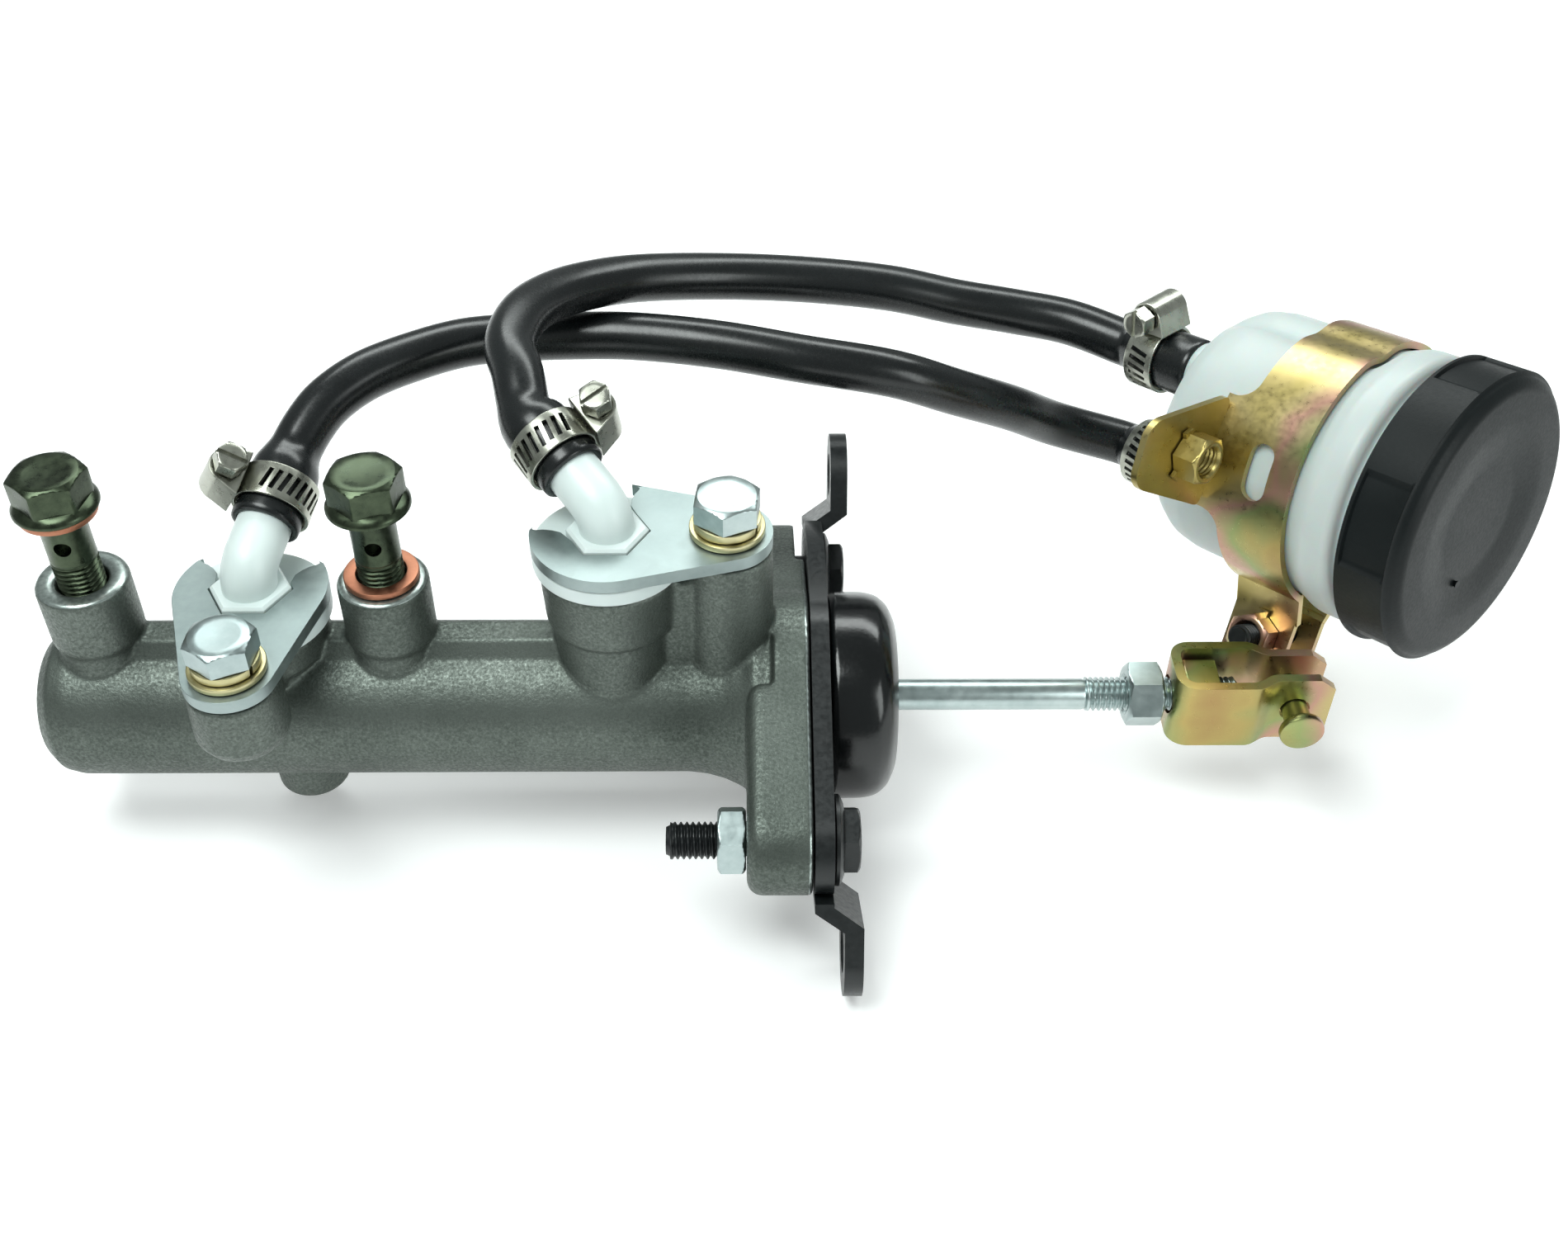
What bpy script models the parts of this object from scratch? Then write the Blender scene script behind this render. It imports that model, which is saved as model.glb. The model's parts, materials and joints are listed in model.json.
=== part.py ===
"""Tandem brake master cylinder with a remote fluid reservoir.

Frame, in metres: the origin is on the bore axis, in the plane where the bracket ears
meet the bulkhead.  +X runs along the bore towards the clevis, +Z is up along the two
outlet ports, and +Y is to the rear.  Dimensions below are in millimetres.
"""
import math

import bmesh
import bpy
from mathutils import Matrix, Vector

MM = 0.001
GAP = 0.3                      # clearance between neighbouring pieces

# --- driving dimensions ---------------------------------------------------------------
BORE_R = 9.5
PISTON_R = BORE_R - GAP
BARREL_R = 17.3
BARREL_LEFT = -180.0
BORE_END = -173.0
FLANGE_LEFT = -24.0
FLANGE_RIGHT = -10.5
PLATE_THICK = 4.0
EAR_JOG = 6.5                  # the ears stand this far in front of the middle of the plate
SPIGOT_R = 14.5
SPIGOT_RIGHT = -1.0

PORT_X = {"front_outlet": -165.1, "rear_outlet": -101.6}
PORT_TOP = 35.7
PORT_R = 9.8
PORT_HOLE_R = 5.3
THREAD_R = 4.9
BANJO_SEAT = 55.2              # underside of the flanges of the two backed-out bolts
BANJO_FLANGE_R = 8.8

ELBOW_BOLT_PITCH = 25.0
# name: X of the socket, height of its rim, direction of the clamp bolt, direction of the arm
ELBOWS = {
    "secondary": {"x": -130.1, "rim": 25.2, "bolt": (0.03, -1.0), "arm": (0.21, 0.92, 0.33)},
    "primary": {"x": -53.1, "rim": 41.1, "bolt": (1.0, 0.0), "arm": (-0.60, 0.73, 0.32)},
}
DISC_THICK = 4.0
DISC_R = 16.2
CLAMP_PLATE_THICK = 3.0
ELBOW_HEX_R = 8.7
ARM_R = 5.8
ARM_START = 12.3               # height of the arm's start above the rim
ARM_LENGTH = 11.0

FLANGE_BOLT_Y = 43.0
FLANGE_BOLT_R = 3.95
LOBE_R = 11.5
EAR_HOLE = (55.5, 20.5)
EAR_R = 10.0
EAR_HOLE_R = 5.2

STROKE = 14.0
ROD_R = 3.55
ROD_THREAD_R = 3.9
ROD_BALL_X = -26.0
ROD_PLAIN_END_X = 52.4
ROD_END_X = 88.0
LOCKNUT_X = (62.3, 70.3)
YOKE_LEFT = 72.3
YOKE_RIGHT = 108.5
YOKE_SHEET = 2.2
YOKE_WIDE = 7.8
YOKE_NARROW = 5.2
YOKE_HALF_HEIGHT = 9.0
YOKE_BEND = 4.6                # outer radius of its two folded corners
PIN_X = 100.4
PIN_R = 3.0
PIN_FACE_Y = -13.0

CAP_FACE = Vector((137.8, 12.7, 39.9))
RESERVOIR_AXIS = Vector((0.638, -0.755, 0.153)).normalized()
RESERVOIR_R = 30.2
RESERVOIR_LENGTH = 57.0
CAP_R = 34.0
CAP_HEIGHT = 17.0
BAND_R = 30.8
BAND_THICK = 1.6
BAND_Z = (-46.8, -29.4)        # its two edges, from the middle of the cap's face
LEG_ANGLE = 245.0              # where the band's two legs leave the reservoir
LEG_OPEN = 17.0
FOOT_OFFSET = 6.4
FOOT_BEND_R = 36.0
FOOT_END_R = 52.0
FOOT_SCREW_R = 43.0
TAB_ANGLE = 158.0
TAB_LOW_Z = -52.6
TAB_HOLE_R = 42.2
# the two nipples in the base of the reservoir, in its own cross-section
NIPPLES = {"primary": (-6.0, 15.5), "secondary": (-6.0, -13.0)}
NIPPLE_LENGTH = 6.0

HOSE_R = 5.65
HOSE_SWELL = 7.4
HOSE_END_LENGTH = 14.0

ROUTES = {
    "primary": [(-73.0, 30.5, 66.5), (-75.5, 40.0, 67.8), (-74.0, 51.0, 68.0), (-69.5, 61.0, 66.5),
                (-62.0, 70.5, 64.0), (-50.0, 80.0, 60.5), (-31.0, 88.5, 56.0), (-10.0, 93.0, 52.5),
                (11.5, 94.0, 49.5), (28.5, 95.0, 45.0), (43.5, 94.5, 42.5), (57.5, 91.0, 41.5)],
    "secondary": [(-121.0, 34.0, 50.5), (-117.0, 40.5, 53.0), (-110.0, 48.0, 54.5),
                  (-100.5, 55.5, 54.5), (-90.0, 62.0, 54.0), (-79.0, 66.5, 52.5),
                  (-65.0, 69.0, 51.5), (-50.0, 68.0, 52.0), (-30.5, 64.5, 52.0),
                  (-10.5, 61.5, 50.0), (10.5, 61.5, 46.0), (26.5, 65.5, 38.0), (42.0, 73.0, 28.0),
                  (55.5, 80.0, 18.0)],
}

# --- scene and helpers ----------------------------------------------------------------
for old in list(bpy.data.objects):
    bpy.data.objects.remove(old, do_unlink=True)

PARTS = bpy.data.collections.new("brake_master_cylinder")
CUTTERS = bpy.data.collections.new("cutters")
bpy.context.scene.collection.children.link(PARTS)
bpy.context.scene.collection.children.link(CUTTERS)


def material(name, colour, roughness, metallic):
    made = bpy.data.materials.new(name)
    made.use_nodes = True
    shader = made.node_tree.nodes["Principled BSDF"]
    shader.inputs["Base Color"].default_value = (*colour, 1.0)
    shader.inputs["Roughness"].default_value = roughness
    shader.inputs["Metallic"].default_value = metallic
    return made


CAST = material("cast_aluminium", (0.30, 0.33, 0.32), 0.55, 0.8)
ZINC = material("bright_zinc", (0.70, 0.75, 0.75), 0.25, 1.0)
YELLOW_ZINC = material("yellow_zinc", (0.62, 0.52, 0.22), 0.3, 1.0)
OLIVE = material("olive_zinc", (0.16, 0.20, 0.13), 0.4, 0.9)
COPPER = material("copper", (0.72, 0.38, 0.26), 0.35, 1.0)
NYLON = material("white_nylon", (0.82, 0.88, 0.87), 0.4, 0.0)
RUBBER = material("black_rubber", (0.03, 0.035, 0.035), 0.45, 0.0)
STAINLESS = material("stainless_steel", (0.62, 0.62, 0.58), 0.3, 1.0)
BLACK_STEEL = material("black_steel", (0.03, 0.035, 0.04), 0.35, 0.6)
BLACK_PLASTIC = material("black_plastic", (0.04, 0.045, 0.05), 0.5, 0.0)
SPRING_STEEL = material("spring_steel", (0.45, 0.46, 0.48), 0.3, 1.0)


def axis_rotation(direction, up=(0.0, 0.0, 1.0)):
    """Rotation that takes local Z to direction and keeps local Y close to up."""
    z_axis = Vector(direction).normalized()
    y_axis = Vector(up) - Vector(up).dot(z_axis) * z_axis
    if y_axis.length < 1e-6:
        y_axis = Vector((0.0, 1.0, 0.0)) - z_axis.y * z_axis
    y_axis.normalize()
    x_axis = y_axis.cross(z_axis)
    return Matrix((x_axis, y_axis, z_axis)).transposed().to_4x4()


X_AXIS = Vector((1.0, 0.0, 0.0))
Y_AXIS = Vector((0.0, 1.0, 0.0))
Z_AXIS = Vector((0.0, 0.0, 1.0))


def place(made, origin, direction, up=(0.0, 0.0, 1.0)):
    """Put an object with its local Z along direction; origin is in millimetres."""
    made.matrix_world = Matrix.Translation(Vector(origin) * MM) @ axis_rotation(direction, up)


def finish_mesh(shape, name, finish, collection):
    mesh = bpy.data.meshes.new(name)
    shape.to_mesh(mesh)
    shape.free()
    mesh.shade_smooth()
    mesh.set_sharp_from_angle(angle=math.radians(35.0))
    made = bpy.data.objects.new(name, mesh)
    collection.objects.link(made)
    if finish:
        mesh.materials.append(finish)
    if collection is CUTTERS:
        made.hide_render = True
        made.display_type = "WIRE"
    return made


def cylinder(name, radius, length, finish=None, origin=(0, 0, 0), direction=(0, 0, 1),
             top_radius=None, segments=18, up=(0.0, 0.0, 1.0)):
    """A cylinder, cone or prism that starts at origin and runs along direction."""
    shape = bmesh.new()
    top = radius if top_radius is None else top_radius
    bmesh.ops.create_cone(shape, cap_ends=True, segments=segments, radius1=radius * MM,
                          radius2=top * MM, depth=length * MM)
    bmesh.ops.translate(shape, verts=shape.verts, vec=(0.0, 0.0, 0.5 * length * MM))
    made = finish_mesh(shape, name, finish, PARTS if finish else CUTTERS)
    place(made, origin, direction, up)
    return made


def box(name, size, centre, finish=None, direction=(0, 0, 1), up=(0.0, 0.0, 1.0)):
    shape = bmesh.new()
    bmesh.ops.create_cube(shape, size=1.0)
    bmesh.ops.scale(shape, verts=shape.verts, vec=Vector(size) * MM)
    made = finish_mesh(shape, name, finish, PARTS if finish else CUTTERS)
    place(made, centre, direction, up)
    return made


def turned(name, profile, finish=None, origin=(0, 0, 0), direction=(0, 0, 1), closed=False,
           segments=18, up=(0.0, 0.0, 1.0)):
    """A turned piece: (radius, height) points that run down its outer side."""
    mesh = bpy.data.meshes.new(name)
    points = [(radius * MM, 0.0, height * MM) for radius, height in profile]
    edges = [(i, i + 1) for i in range(len(points) - 1)]
    if closed:
        edges.append((len(points) - 1, 0))
    mesh.from_pydata(points, edges, [])
    made = bpy.data.objects.new(name, mesh)
    (PARTS if finish else CUTTERS).objects.link(made)
    if finish:
        mesh.materials.append(finish)
    else:
        made.hide_render = True
        made.display_type = "WIRE"
    screw = made.modifiers.new("turn", "SCREW")
    screw.axis = "Z"
    screw.angle = math.tau
    screw.steps = segments
    screw.render_steps = segments
    screw.use_merge_vertices = True
    screw.merge_threshold = 0.00001
    screw.use_smooth_shade = True
    place(made, origin, direction, up)
    return made


def outline(name, points, thickness, finish=None, origin=(0, 0, 0), direction=(0, 0, 1),
            up=(0.0, 0.0, 1.0)):
    """A flat outline of (x, y) points, thickened from origin along direction."""
    shape = bmesh.new()
    corners = [shape.verts.new((x * MM, y * MM, 0.0)) for x, y in points]
    face = shape.faces.new(corners)
    made = bmesh.ops.extrude_face_region(shape, geom=[face])
    moved = [v for v in made["geom"] if isinstance(v, bmesh.types.BMVert)]
    bmesh.ops.translate(shape, verts=moved, vec=(0.0, 0.0, thickness * MM))
    bmesh.ops.recalc_face_normals(shape, faces=shape.faces)
    result = finish_mesh(shape, name, finish, PARTS if finish else CUTTERS)
    place(result, origin, direction, up)
    return result


def combine(target, other, operation):
    step = target.modifiers.new(operation.lower(), "BOOLEAN")
    step.operation = operation
    step.solver = "EXACT"
    step.object = other
    return target


def cut(target, *others):
    for other in others:
        combine(target, other, "DIFFERENCE")
    return target


def add(target, *others):
    for other in others:
        combine(target, other, "UNION")
    return target


def arc(centre, radius, start, stop, steps):
    """Points of an arc in degrees, both ends included."""
    points = []
    for i in range(steps + 1):
        angle = math.radians(start + (stop - start) * i / steps)
        points.append((centre[0] + radius * math.cos(angle), centre[1] + radius * math.sin(angle)))
    return points


def smooth_curve(points, per_span):
    """Catmull-Rom curve through the points, with per_span samples between two of them."""
    path = [Vector(p) for p in points]
    path = [2 * path[0] - path[1]] + path + [2 * path[-1] - path[-2]]
    samples = []
    for i in range(1, len(path) - 2):
        a, b, c, d = path[i - 1:i + 3]
        for k in range(per_span):
            t = k / per_span
            samples.append(0.5 * ((2 * b) + (c - a) * t + (2 * a - 5 * b + 4 * c - d) * t * t
                                  + (3 * b - a - 3 * c + d) * t ** 3))
    samples.append(path[-2])
    return samples


def tube(name, points, radii, finish, resolution=3):
    """A round tube on a straight-segment spline; points and radii in millimetres."""
    curve = bpy.data.curves.new(name, "CURVE")
    curve.dimensions = "3D"
    curve.bevel_depth = MM
    curve.bevel_resolution = resolution
    curve.use_fill_caps = True
    spline = curve.splines.new("POLY")
    spline.points.add(len(points) - 1)
    for point, position, radius in zip(spline.points, points, radii):
        point.co = (*(Vector(position) * MM), 1.0)
        point.radius = radius
    curve.materials.append(finish)
    made = bpy.data.objects.new(name, curve)
    PARTS.objects.link(made)
    return made


# --- casting --------------------------------------------------------------------------
def cylinder_body():
    body = turned("cylinder_body", [
        (0.0, FLANGE_RIGHT - 1.0), (20.0, FLANGE_RIGHT - 1.0), (20.0, FLANGE_LEFT),
        (BARREL_R, FLANGE_LEFT - 3.0),
        (BARREL_R, BARREL_LEFT + 7.0), (BARREL_R - 2.2, BARREL_LEFT + 2.2),
        (BARREL_R - 7.0, BARREL_LEFT), (0.0, BARREL_LEFT)], CAST, direction=X_AXIS, segments=30)
    spigot = cylinder("spigot", SPIGOT_R, SPIGOT_RIGHT - FLANGE_RIGHT + 4.0, segments=32,
                      origin=(FLANGE_RIGHT - 4.0, 0, 0), direction=X_AXIS)
    add(body, spigot)
    add(body, flange_outline("flange_rim", FLANGE_LEFT + 5.5))
    add(body, front_lobe())
    rib = outline("top_rib", [(-6.2, 12.0), (6.2, 12.0), (6.2, 15.5), (3.1, 20.4), (-3.1, 20.4),
                              (-6.2, 15.5)], 122.0, origin=(-172.0, 0, 0), direction=X_AXIS)
    add(body, rib)
    add(body, cylinder("lower_boss", 8.4, 16.0, origin=(-126.0, 0, -25.5)))
    for name, x in PORT_X.items():
        add(body, turned(name + "_boss", [
            (0.0, PORT_TOP), (PORT_R, PORT_TOP), (PORT_R, 20.6), (PORT_R - 0.9, 19.0),
            (PORT_R - 0.6, 8.0), (0.0, 8.0)], origin=(x, 0, 0)))
    for name, elbow in ELBOWS.items():
        add_elbow_bosses(body, name, elbow)
    bore_cutters(body)
    weld = body.modifiers.new("weld", "WELD")
    weld.merge_threshold = 0.00003
    return body


def flange_outline(name, left):
    """Oval of the casting flange round the middle and both bolts, from left to FLANGE_RIGHT."""
    middle = 24.5
    points = arc((FLANGE_BOLT_Y, 0), LOBE_R, -72, 72, 8) + arc((0, 0), middle, 60, 120, 5)
    points += arc((-FLANGE_BOLT_Y, 0), LOBE_R, 108, 252, 8) + arc((0, 0), middle, 240, 300, 5)
    return outline(name, points, FLANGE_RIGHT - left, origin=(left, 0, 0),
                   direction=X_AXIS)


def front_lobe():
    """The front bolt lobe is thicker than the rest of the flange."""
    points = arc((-FLANGE_BOLT_Y, 0), LOBE_R - 0.4, 102, 258, 8) + [(-16.0, -13.0), (-16.0, 13.0)]
    return outline("front_lobe", points, FLANGE_RIGHT - FLANGE_LEFT - 0.8,
                   origin=(FLANGE_LEFT, 0, 0), direction=X_AXIS)


def add_elbow_bosses(body, name, elbow):
    x, rim = elbow["x"], elbow["rim"]
    bolt = Vector((elbow["bolt"][0], elbow["bolt"][1], 0)).normalized()
    step = rim - 9.0 if name == "secondary" else rim - 15.5
    add(body, turned(name + "_socket_boss", [
        (0.0, rim + 0.2), (14.4, rim + 0.2), (15.0, rim - 1.4), (14.3, step + 1.2), (13.0, step),
        (12.6, 4.0), (0.0, 4.0)], origin=(x, 0, 0)))
    seat = rim + DISC_THICK - GAP
    bottom = 13.0 if name == "secondary" else 6.0
    place_xy = Vector((x, 0, 0)) + bolt * ELBOW_BOLT_PITCH
    add(body, turned(name + "_bolt_boss", [
        (0.0, seat), (9.6, seat), (10.0, bottom + 4.0), (8.4, bottom + 1.0), (5.0, bottom),
        (0.0, bottom)], origin=place_xy))
    web_low, web_high = bottom + 1.5, rim - 1.8
    web_centre = Vector((x, 0, 0.5 * (web_low + web_high))) + bolt * (0.5 * ELBOW_BOLT_PITCH)
    add(body, box(name + "_web", (ELBOW_BOLT_PITCH - 1.0, 13.0, web_high - web_low), web_centre,
                  up=(-bolt.y, bolt.x, 0.0)))
    cut(body, cylinder(name + "_disc_room", DISC_R + GAP, 12.0, origin=(x, 0, rim), segments=30))


def bore_cutters(body):
    bore = turned("bore", [(0.0, 5.0), (BORE_R, 5.0), (BORE_R, BORE_END + 0.6), (0.0, BORE_END)],
                  direction=X_AXIS)
    groove = turned("circlip_groove", [(BORE_R + 1.0, -3.4), (BORE_R + 1.0, -5.2),
                                       (BORE_R - 1.0, -5.2), (BORE_R - 1.0, -3.4)],
                    direction=X_AXIS, closed=True)
    cut(body, bore, groove)
    for name, x in PORT_X.items():
        cut(body, turned(name + "_hole", [
            (0.0, PORT_TOP + 2.0), (PORT_HOLE_R + 2.9, PORT_TOP + 2.0), (PORT_HOLE_R, PORT_TOP - 0.9),
            (PORT_HOLE_R, 19.0), (1.6, 18.0), (1.6, 4.0), (0.0, 4.0)], origin=(x, 0, 0)))
    for name, elbow in ELBOWS.items():
        x, rim = elbow["x"], elbow["rim"]
        bolt = Vector((elbow["bolt"][0], elbow["bolt"][1], 0)).normalized()
        bolt_place = Vector((x, 0, rim - 7.8)) + bolt * ELBOW_BOLT_PITCH
        cut(body, turned(name + "_socket", [
            (0.0, rim + 3.0), (11.0, rim + 3.0), (11.0, rim - 9.0), (1.6, rim - 10.0), (1.6, 4.0),
            (0.0, 4.0)], origin=(x, 0, 0)),
            cylinder(name + "_bolt_hole", 4.0 + GAP, 40.0, origin=bolt_place, segments=14))
    for side in (-1, 1):
        cut(body, cylinder("flange_hole", FLANGE_BOLT_R + 0.55, 40.0,
                           origin=(-40.0, side * FLANGE_BOLT_Y, 0), direction=X_AXIS, segments=18))
    rear_recess = box("rear_recess", (2.3, 40.0, 60.0), (FLANGE_RIGHT - 1.0, 49.0, 0))
    cut(body, rear_recess)


# --- bracket plate and its bolts --------------------------------------------------------
def mounting_plate():
    """Flat middle on the casting, with two ears that jog forward to the bulkhead."""
    middle_x = FLANGE_RIGHT + GAP
    ear_y, ear_z = EAR_HOLE
    middle = arc((FLANGE_BOLT_Y, 0), 11.8, -80, 20, 7) + [(42.0, 17.0), (25.0, 24.0)]
    middle += arc((0, 0), 25.0, 78, 98, 2)
    middle += [(-y, -z) for y, z in middle]
    plate = outline("mounting_plate", middle, PLATE_THICK, BLACK_STEEL,
                    origin=(middle_x, 0, 0), direction=X_AXIS)
    outward = Vector((0.0, 0.5, 0.866))
    along = Vector((0.0, 0.866, -0.5))
    for side in (1, -1):
        place_ear(plate, side, Vector((0.0, ear_y, ear_z)) * side, outward * side, along, middle_x)
    cut(plate, cylinder("plate_bore", SPIGOT_R + GAP, 30.0, origin=(-25, 0, 0), direction=X_AXIS,
                        segments=32))
    for side in (-1, 1):
        cut(plate, cylinder("plate_bolt_hole", FLANGE_BOLT_R + 0.55, 20.0, segments=18,
                            origin=(-20.0, side * FLANGE_BOLT_Y, 0), direction=X_AXIS),
            cylinder("ear_hole", EAR_HOLE_R, 20.0, segments=18,
                     origin=(-10.0, side * ear_y, side * ear_z), direction=X_AXIS))
    return plate


def place_ear(plate, side, hole, outward, along, middle_x):
    """One ear: a slanted strip from the middle, then a round-ended tongue with the hole."""
    tongue = arc((0, 0), EAR_R, 0, 180, 10) + [(-EAR_R, -6.6), (EAR_R, -6.6)]
    tongue_x = -PLATE_THICK
    add(plate, outline("ear_tongue", tongue, PLATE_THICK, origin=hole + X_AXIS * tongue_x,
                       direction=X_AXIS, up=outward))
    strip_side = [(0.0, 0.0), (PLATE_THICK, 0.0), (PLATE_THICK + EAR_JOG - GAP, 5.4),
                  (PLATE_THICK + EAR_JOG - GAP, 8.6), (EAR_JOG - GAP, 8.6), (0.0, 3.2)]
    start = hole - outward * 13.8 - along * EAR_R * side + X_AXIS * middle_x
    strip = outline("ear_strip", strip_side, 2 * EAR_R, origin=start, direction=along * side,
                    up=outward)
    if (axis_rotation(along * side, outward).to_3x3() @ Vector((1, 0, 0))).x < 0:
        strip.data.transform(Matrix.Scale(-1.0, 4, (1.0, 0.0, 0.0)))
        strip.data.flip_normals()
    add(plate, strip)


def flange_bolts():
    for name, side in (("front", -1), ("rear", 1)):
        y = side * FLANGE_BOLT_Y
        face = FLANGE_RIGHT + PLATE_THICK + 2 * GAP
        head = turned("flange_bolt_" + name, [
            (0.0, face + 5.4), (5.2, face + 5.4), (6.4, face + 4.8), (6.4, face + 1.8),
            (9.6, face + 1.2), (9.6, face), (FLANGE_BOLT_R, face), (FLANGE_BOLT_R, -40.0),
            (FLANGE_BOLT_R - 0.8, -41.0), (0.0, -41.0)], BLACK_STEEL, origin=(0, y, 0),
            direction=X_AXIS, segments=18)
        head.data.name = "flange_bolt"
        nut_face = FLANGE_LEFT - GAP if side < 0 else FLANGE_LEFT + 5.5 - GAP
        nut = cylinder("flange_nut_" + name, 7.5, 6.0, ZINC, origin=(nut_face - 6.0, y, 0),
                       direction=X_AXIS, segments=6)
        cut(nut, cylinder("nut_hole", FLANGE_BOLT_R + GAP, 10.0, segments=18,
                          origin=(nut_face - 8.0, y, 0), direction=X_AXIS))


# --- outlet ports -----------------------------------------------------------------------
def banjo_bolts():
    for name, x in PORT_X.items():
        head = BANJO_SEAT
        bolt = turned("banjo_bolt_" + name, [
            (0.0, head + 8.6), (6.6, head + 8.6), (7.0, head + 8.2), (7.0, head + 2.6),
            (BANJO_FLANGE_R, head + 1.2), (BANJO_FLANGE_R, head), (THREAD_R, head),
            (THREAD_R, head - 26.0), (THREAD_R - 1.0, head - 27.0), (0.0, head - 27.0)], OLIVE,
            origin=(x, 0, 0), segments=18)
        cut(bolt, cylinder("banjo_cross_hole", 1.7, 20.0, origin=(x, 10.0, head - 8.0),
                           direction=-Y_AXIS, segments=16),
            cylinder("banjo_axial_hole", 1.8, 21.0, origin=(x, 0, head - 28.0), segments=16))
        washer_z = head - 1.5 - GAP if name == "front_outlet" else PORT_TOP + GAP
        turned("copper_washer_" + name, [(8.0, 1.5), (8.0, 0.0), (THREAD_R + 0.4, 0.0),
                                         (THREAD_R + 0.4, 1.5)], COPPER,
               origin=(x, 0, washer_z), closed=True, segments=18)


# --- inlet elbows -----------------------------------------------------------------------
def elbow_set(name, elbow):
    x, rim = elbow["x"], elbow["rim"]
    bolt = Vector((elbow["bolt"][0], elbow["bolt"][1], 0)).normalized()
    arm = Vector(elbow["arm"]).normalized()
    disc_low = rim + GAP
    disc_high = rim + DISC_THICK
    plate_low = disc_high + GAP
    plate_high = plate_low + CLAMP_PLATE_THICK
    fitting = turned("inlet_elbow_" + name, [
        (0.0, disc_high), (DISC_R, disc_high), (DISC_R, disc_low), (9.0, disc_low),
        (9.0, rim - 6.0), (0.0, rim - 6.0)], NYLON, origin=(x, 0, 0), segments=18)
    add(fitting, cylinder(name + "_hex", ELBOW_HEX_R, CLAMP_PLATE_THICK + 1.2, segments=6,
                          origin=(x, 0, disc_high - 0.5), up=(bolt.x, bolt.y, 0)),
        cylinder(name + "_riser", ARM_R, ARM_START - DISC_THICK + 2.0, origin=(x, 0, disc_high - 0.2)))
    elbow_point = Vector((x, 0, rim + ARM_START))
    add(fitting, cylinder(name + "_arm", ARM_R, ARM_LENGTH + 3.0, origin=elbow_point - arm * 3.0,
                          direction=arm))
    cut(fitting, cylinder(name + "_arm_bore", 3.2, ARM_LENGTH + 6.0, origin=elbow_point - arm * 1.5,
                          direction=arm, segments=14),
        cylinder(name + "_riser_bore", 3.2, 30.0, origin=(x, 0, rim + ARM_START - 29.0),
                 segments=14))
    turned("elbow_seal_" + name, [(10.6, rim - 0.4), (10.6, rim - 5.4), (9.3, rim - 5.4),
                                  (9.3, rim - 0.4)], RUBBER, origin=(x, 0, 0), closed=True)
    clamp_plate(name, x, plate_low, bolt)
    fasten_plate(name, Vector((x, 0, 0)) + bolt * ELBOW_BOLT_PITCH, plate_high)


def clamp_plate(name, x, plate_low, bolt):
    """Teardrop plate round the elbow's hexagon, open at the back, held by one bolt."""
    big, small = 16.0, 9.6
    points = arc((0, 0), big, 155, 385, 22)
    points += arc((0, 0), big, 25, 25, 1)[:1]
    side = math.degrees(math.acos((big - small) / ELBOW_BOLT_PITCH))
    points = arc((0, 0), big, 270 + side - 90, 160, 1)[:1]
    points = arc((0, 0), big, side, 152, 10) + arc((0, 0), big, 208, 360 - side, 10)
    points += arc((ELBOW_BOLT_PITCH, 0), small, -side, side, 12)
    flat = Vector((-bolt.y, bolt.x, 0))
    plate = outline("clamp_plate_" + name, points, CLAMP_PLATE_THICK, ZINC,
                    origin=(x, 0, plate_low), up=flat)
    hexagon = cylinder(name + "_notch", ELBOW_HEX_R + GAP + 0.1, 12.0, segments=6,
                       origin=(x, 0, plate_low - 3.0), up=(bolt.x, bolt.y, 0))
    opening = outline(name + "_opening", [(0.0, -7.7), (0.0, 7.7), (-20.0, 13.5), (-20.0, -13.5)],
                      12.0, origin=(x, 0, plate_low - 3.0), up=flat)
    hole = cylinder(name + "_plate_hole", 4.0 + GAP, 12.0, segments=18,
                    origin=Vector((x, 0, plate_low - 3.0)) + bolt * ELBOW_BOLT_PITCH)
    cut(plate, hexagon, opening, hole)


def fasten_plate(name, where, plate_high):
    washer = plate_high + GAP
    ring = washer + 1.5 + GAP
    head = ring + 1.9 + GAP
    at = Vector((where.x, where.y, 0))
    turned("flat_washer_" + name, [(8.0, 1.5), (8.0, 0.0), (4.3, 0.0), (4.3, 1.5)], YELLOW_ZINC,
           origin=at + Z_AXIS * washer, closed=True, segments=18)
    spring_washer = turned("spring_washer_" + name, [(7.1, 1.9), (7.1, 0.0), (4.3, 0.0),
                                                     (4.3, 1.9)], YELLOW_ZINC,
                           origin=at + Z_AXIS * ring, closed=True, segments=18)
    cut(spring_washer, box(name + "_split", (5.0, 1.0, 6.0), at + Vector((6.0, 0, ring + 1.0))))
    bolt = cylinder("clamp_bolt_" + name, 7.5, 5.3, ZINC, origin=at + Z_AXIS * head, segments=6)
    shank = cylinder(name + "_shank", 3.95, 17.0, origin=at + Z_AXIS * (head - 16.8), segments=14)
    add(bolt, shank)


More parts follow.
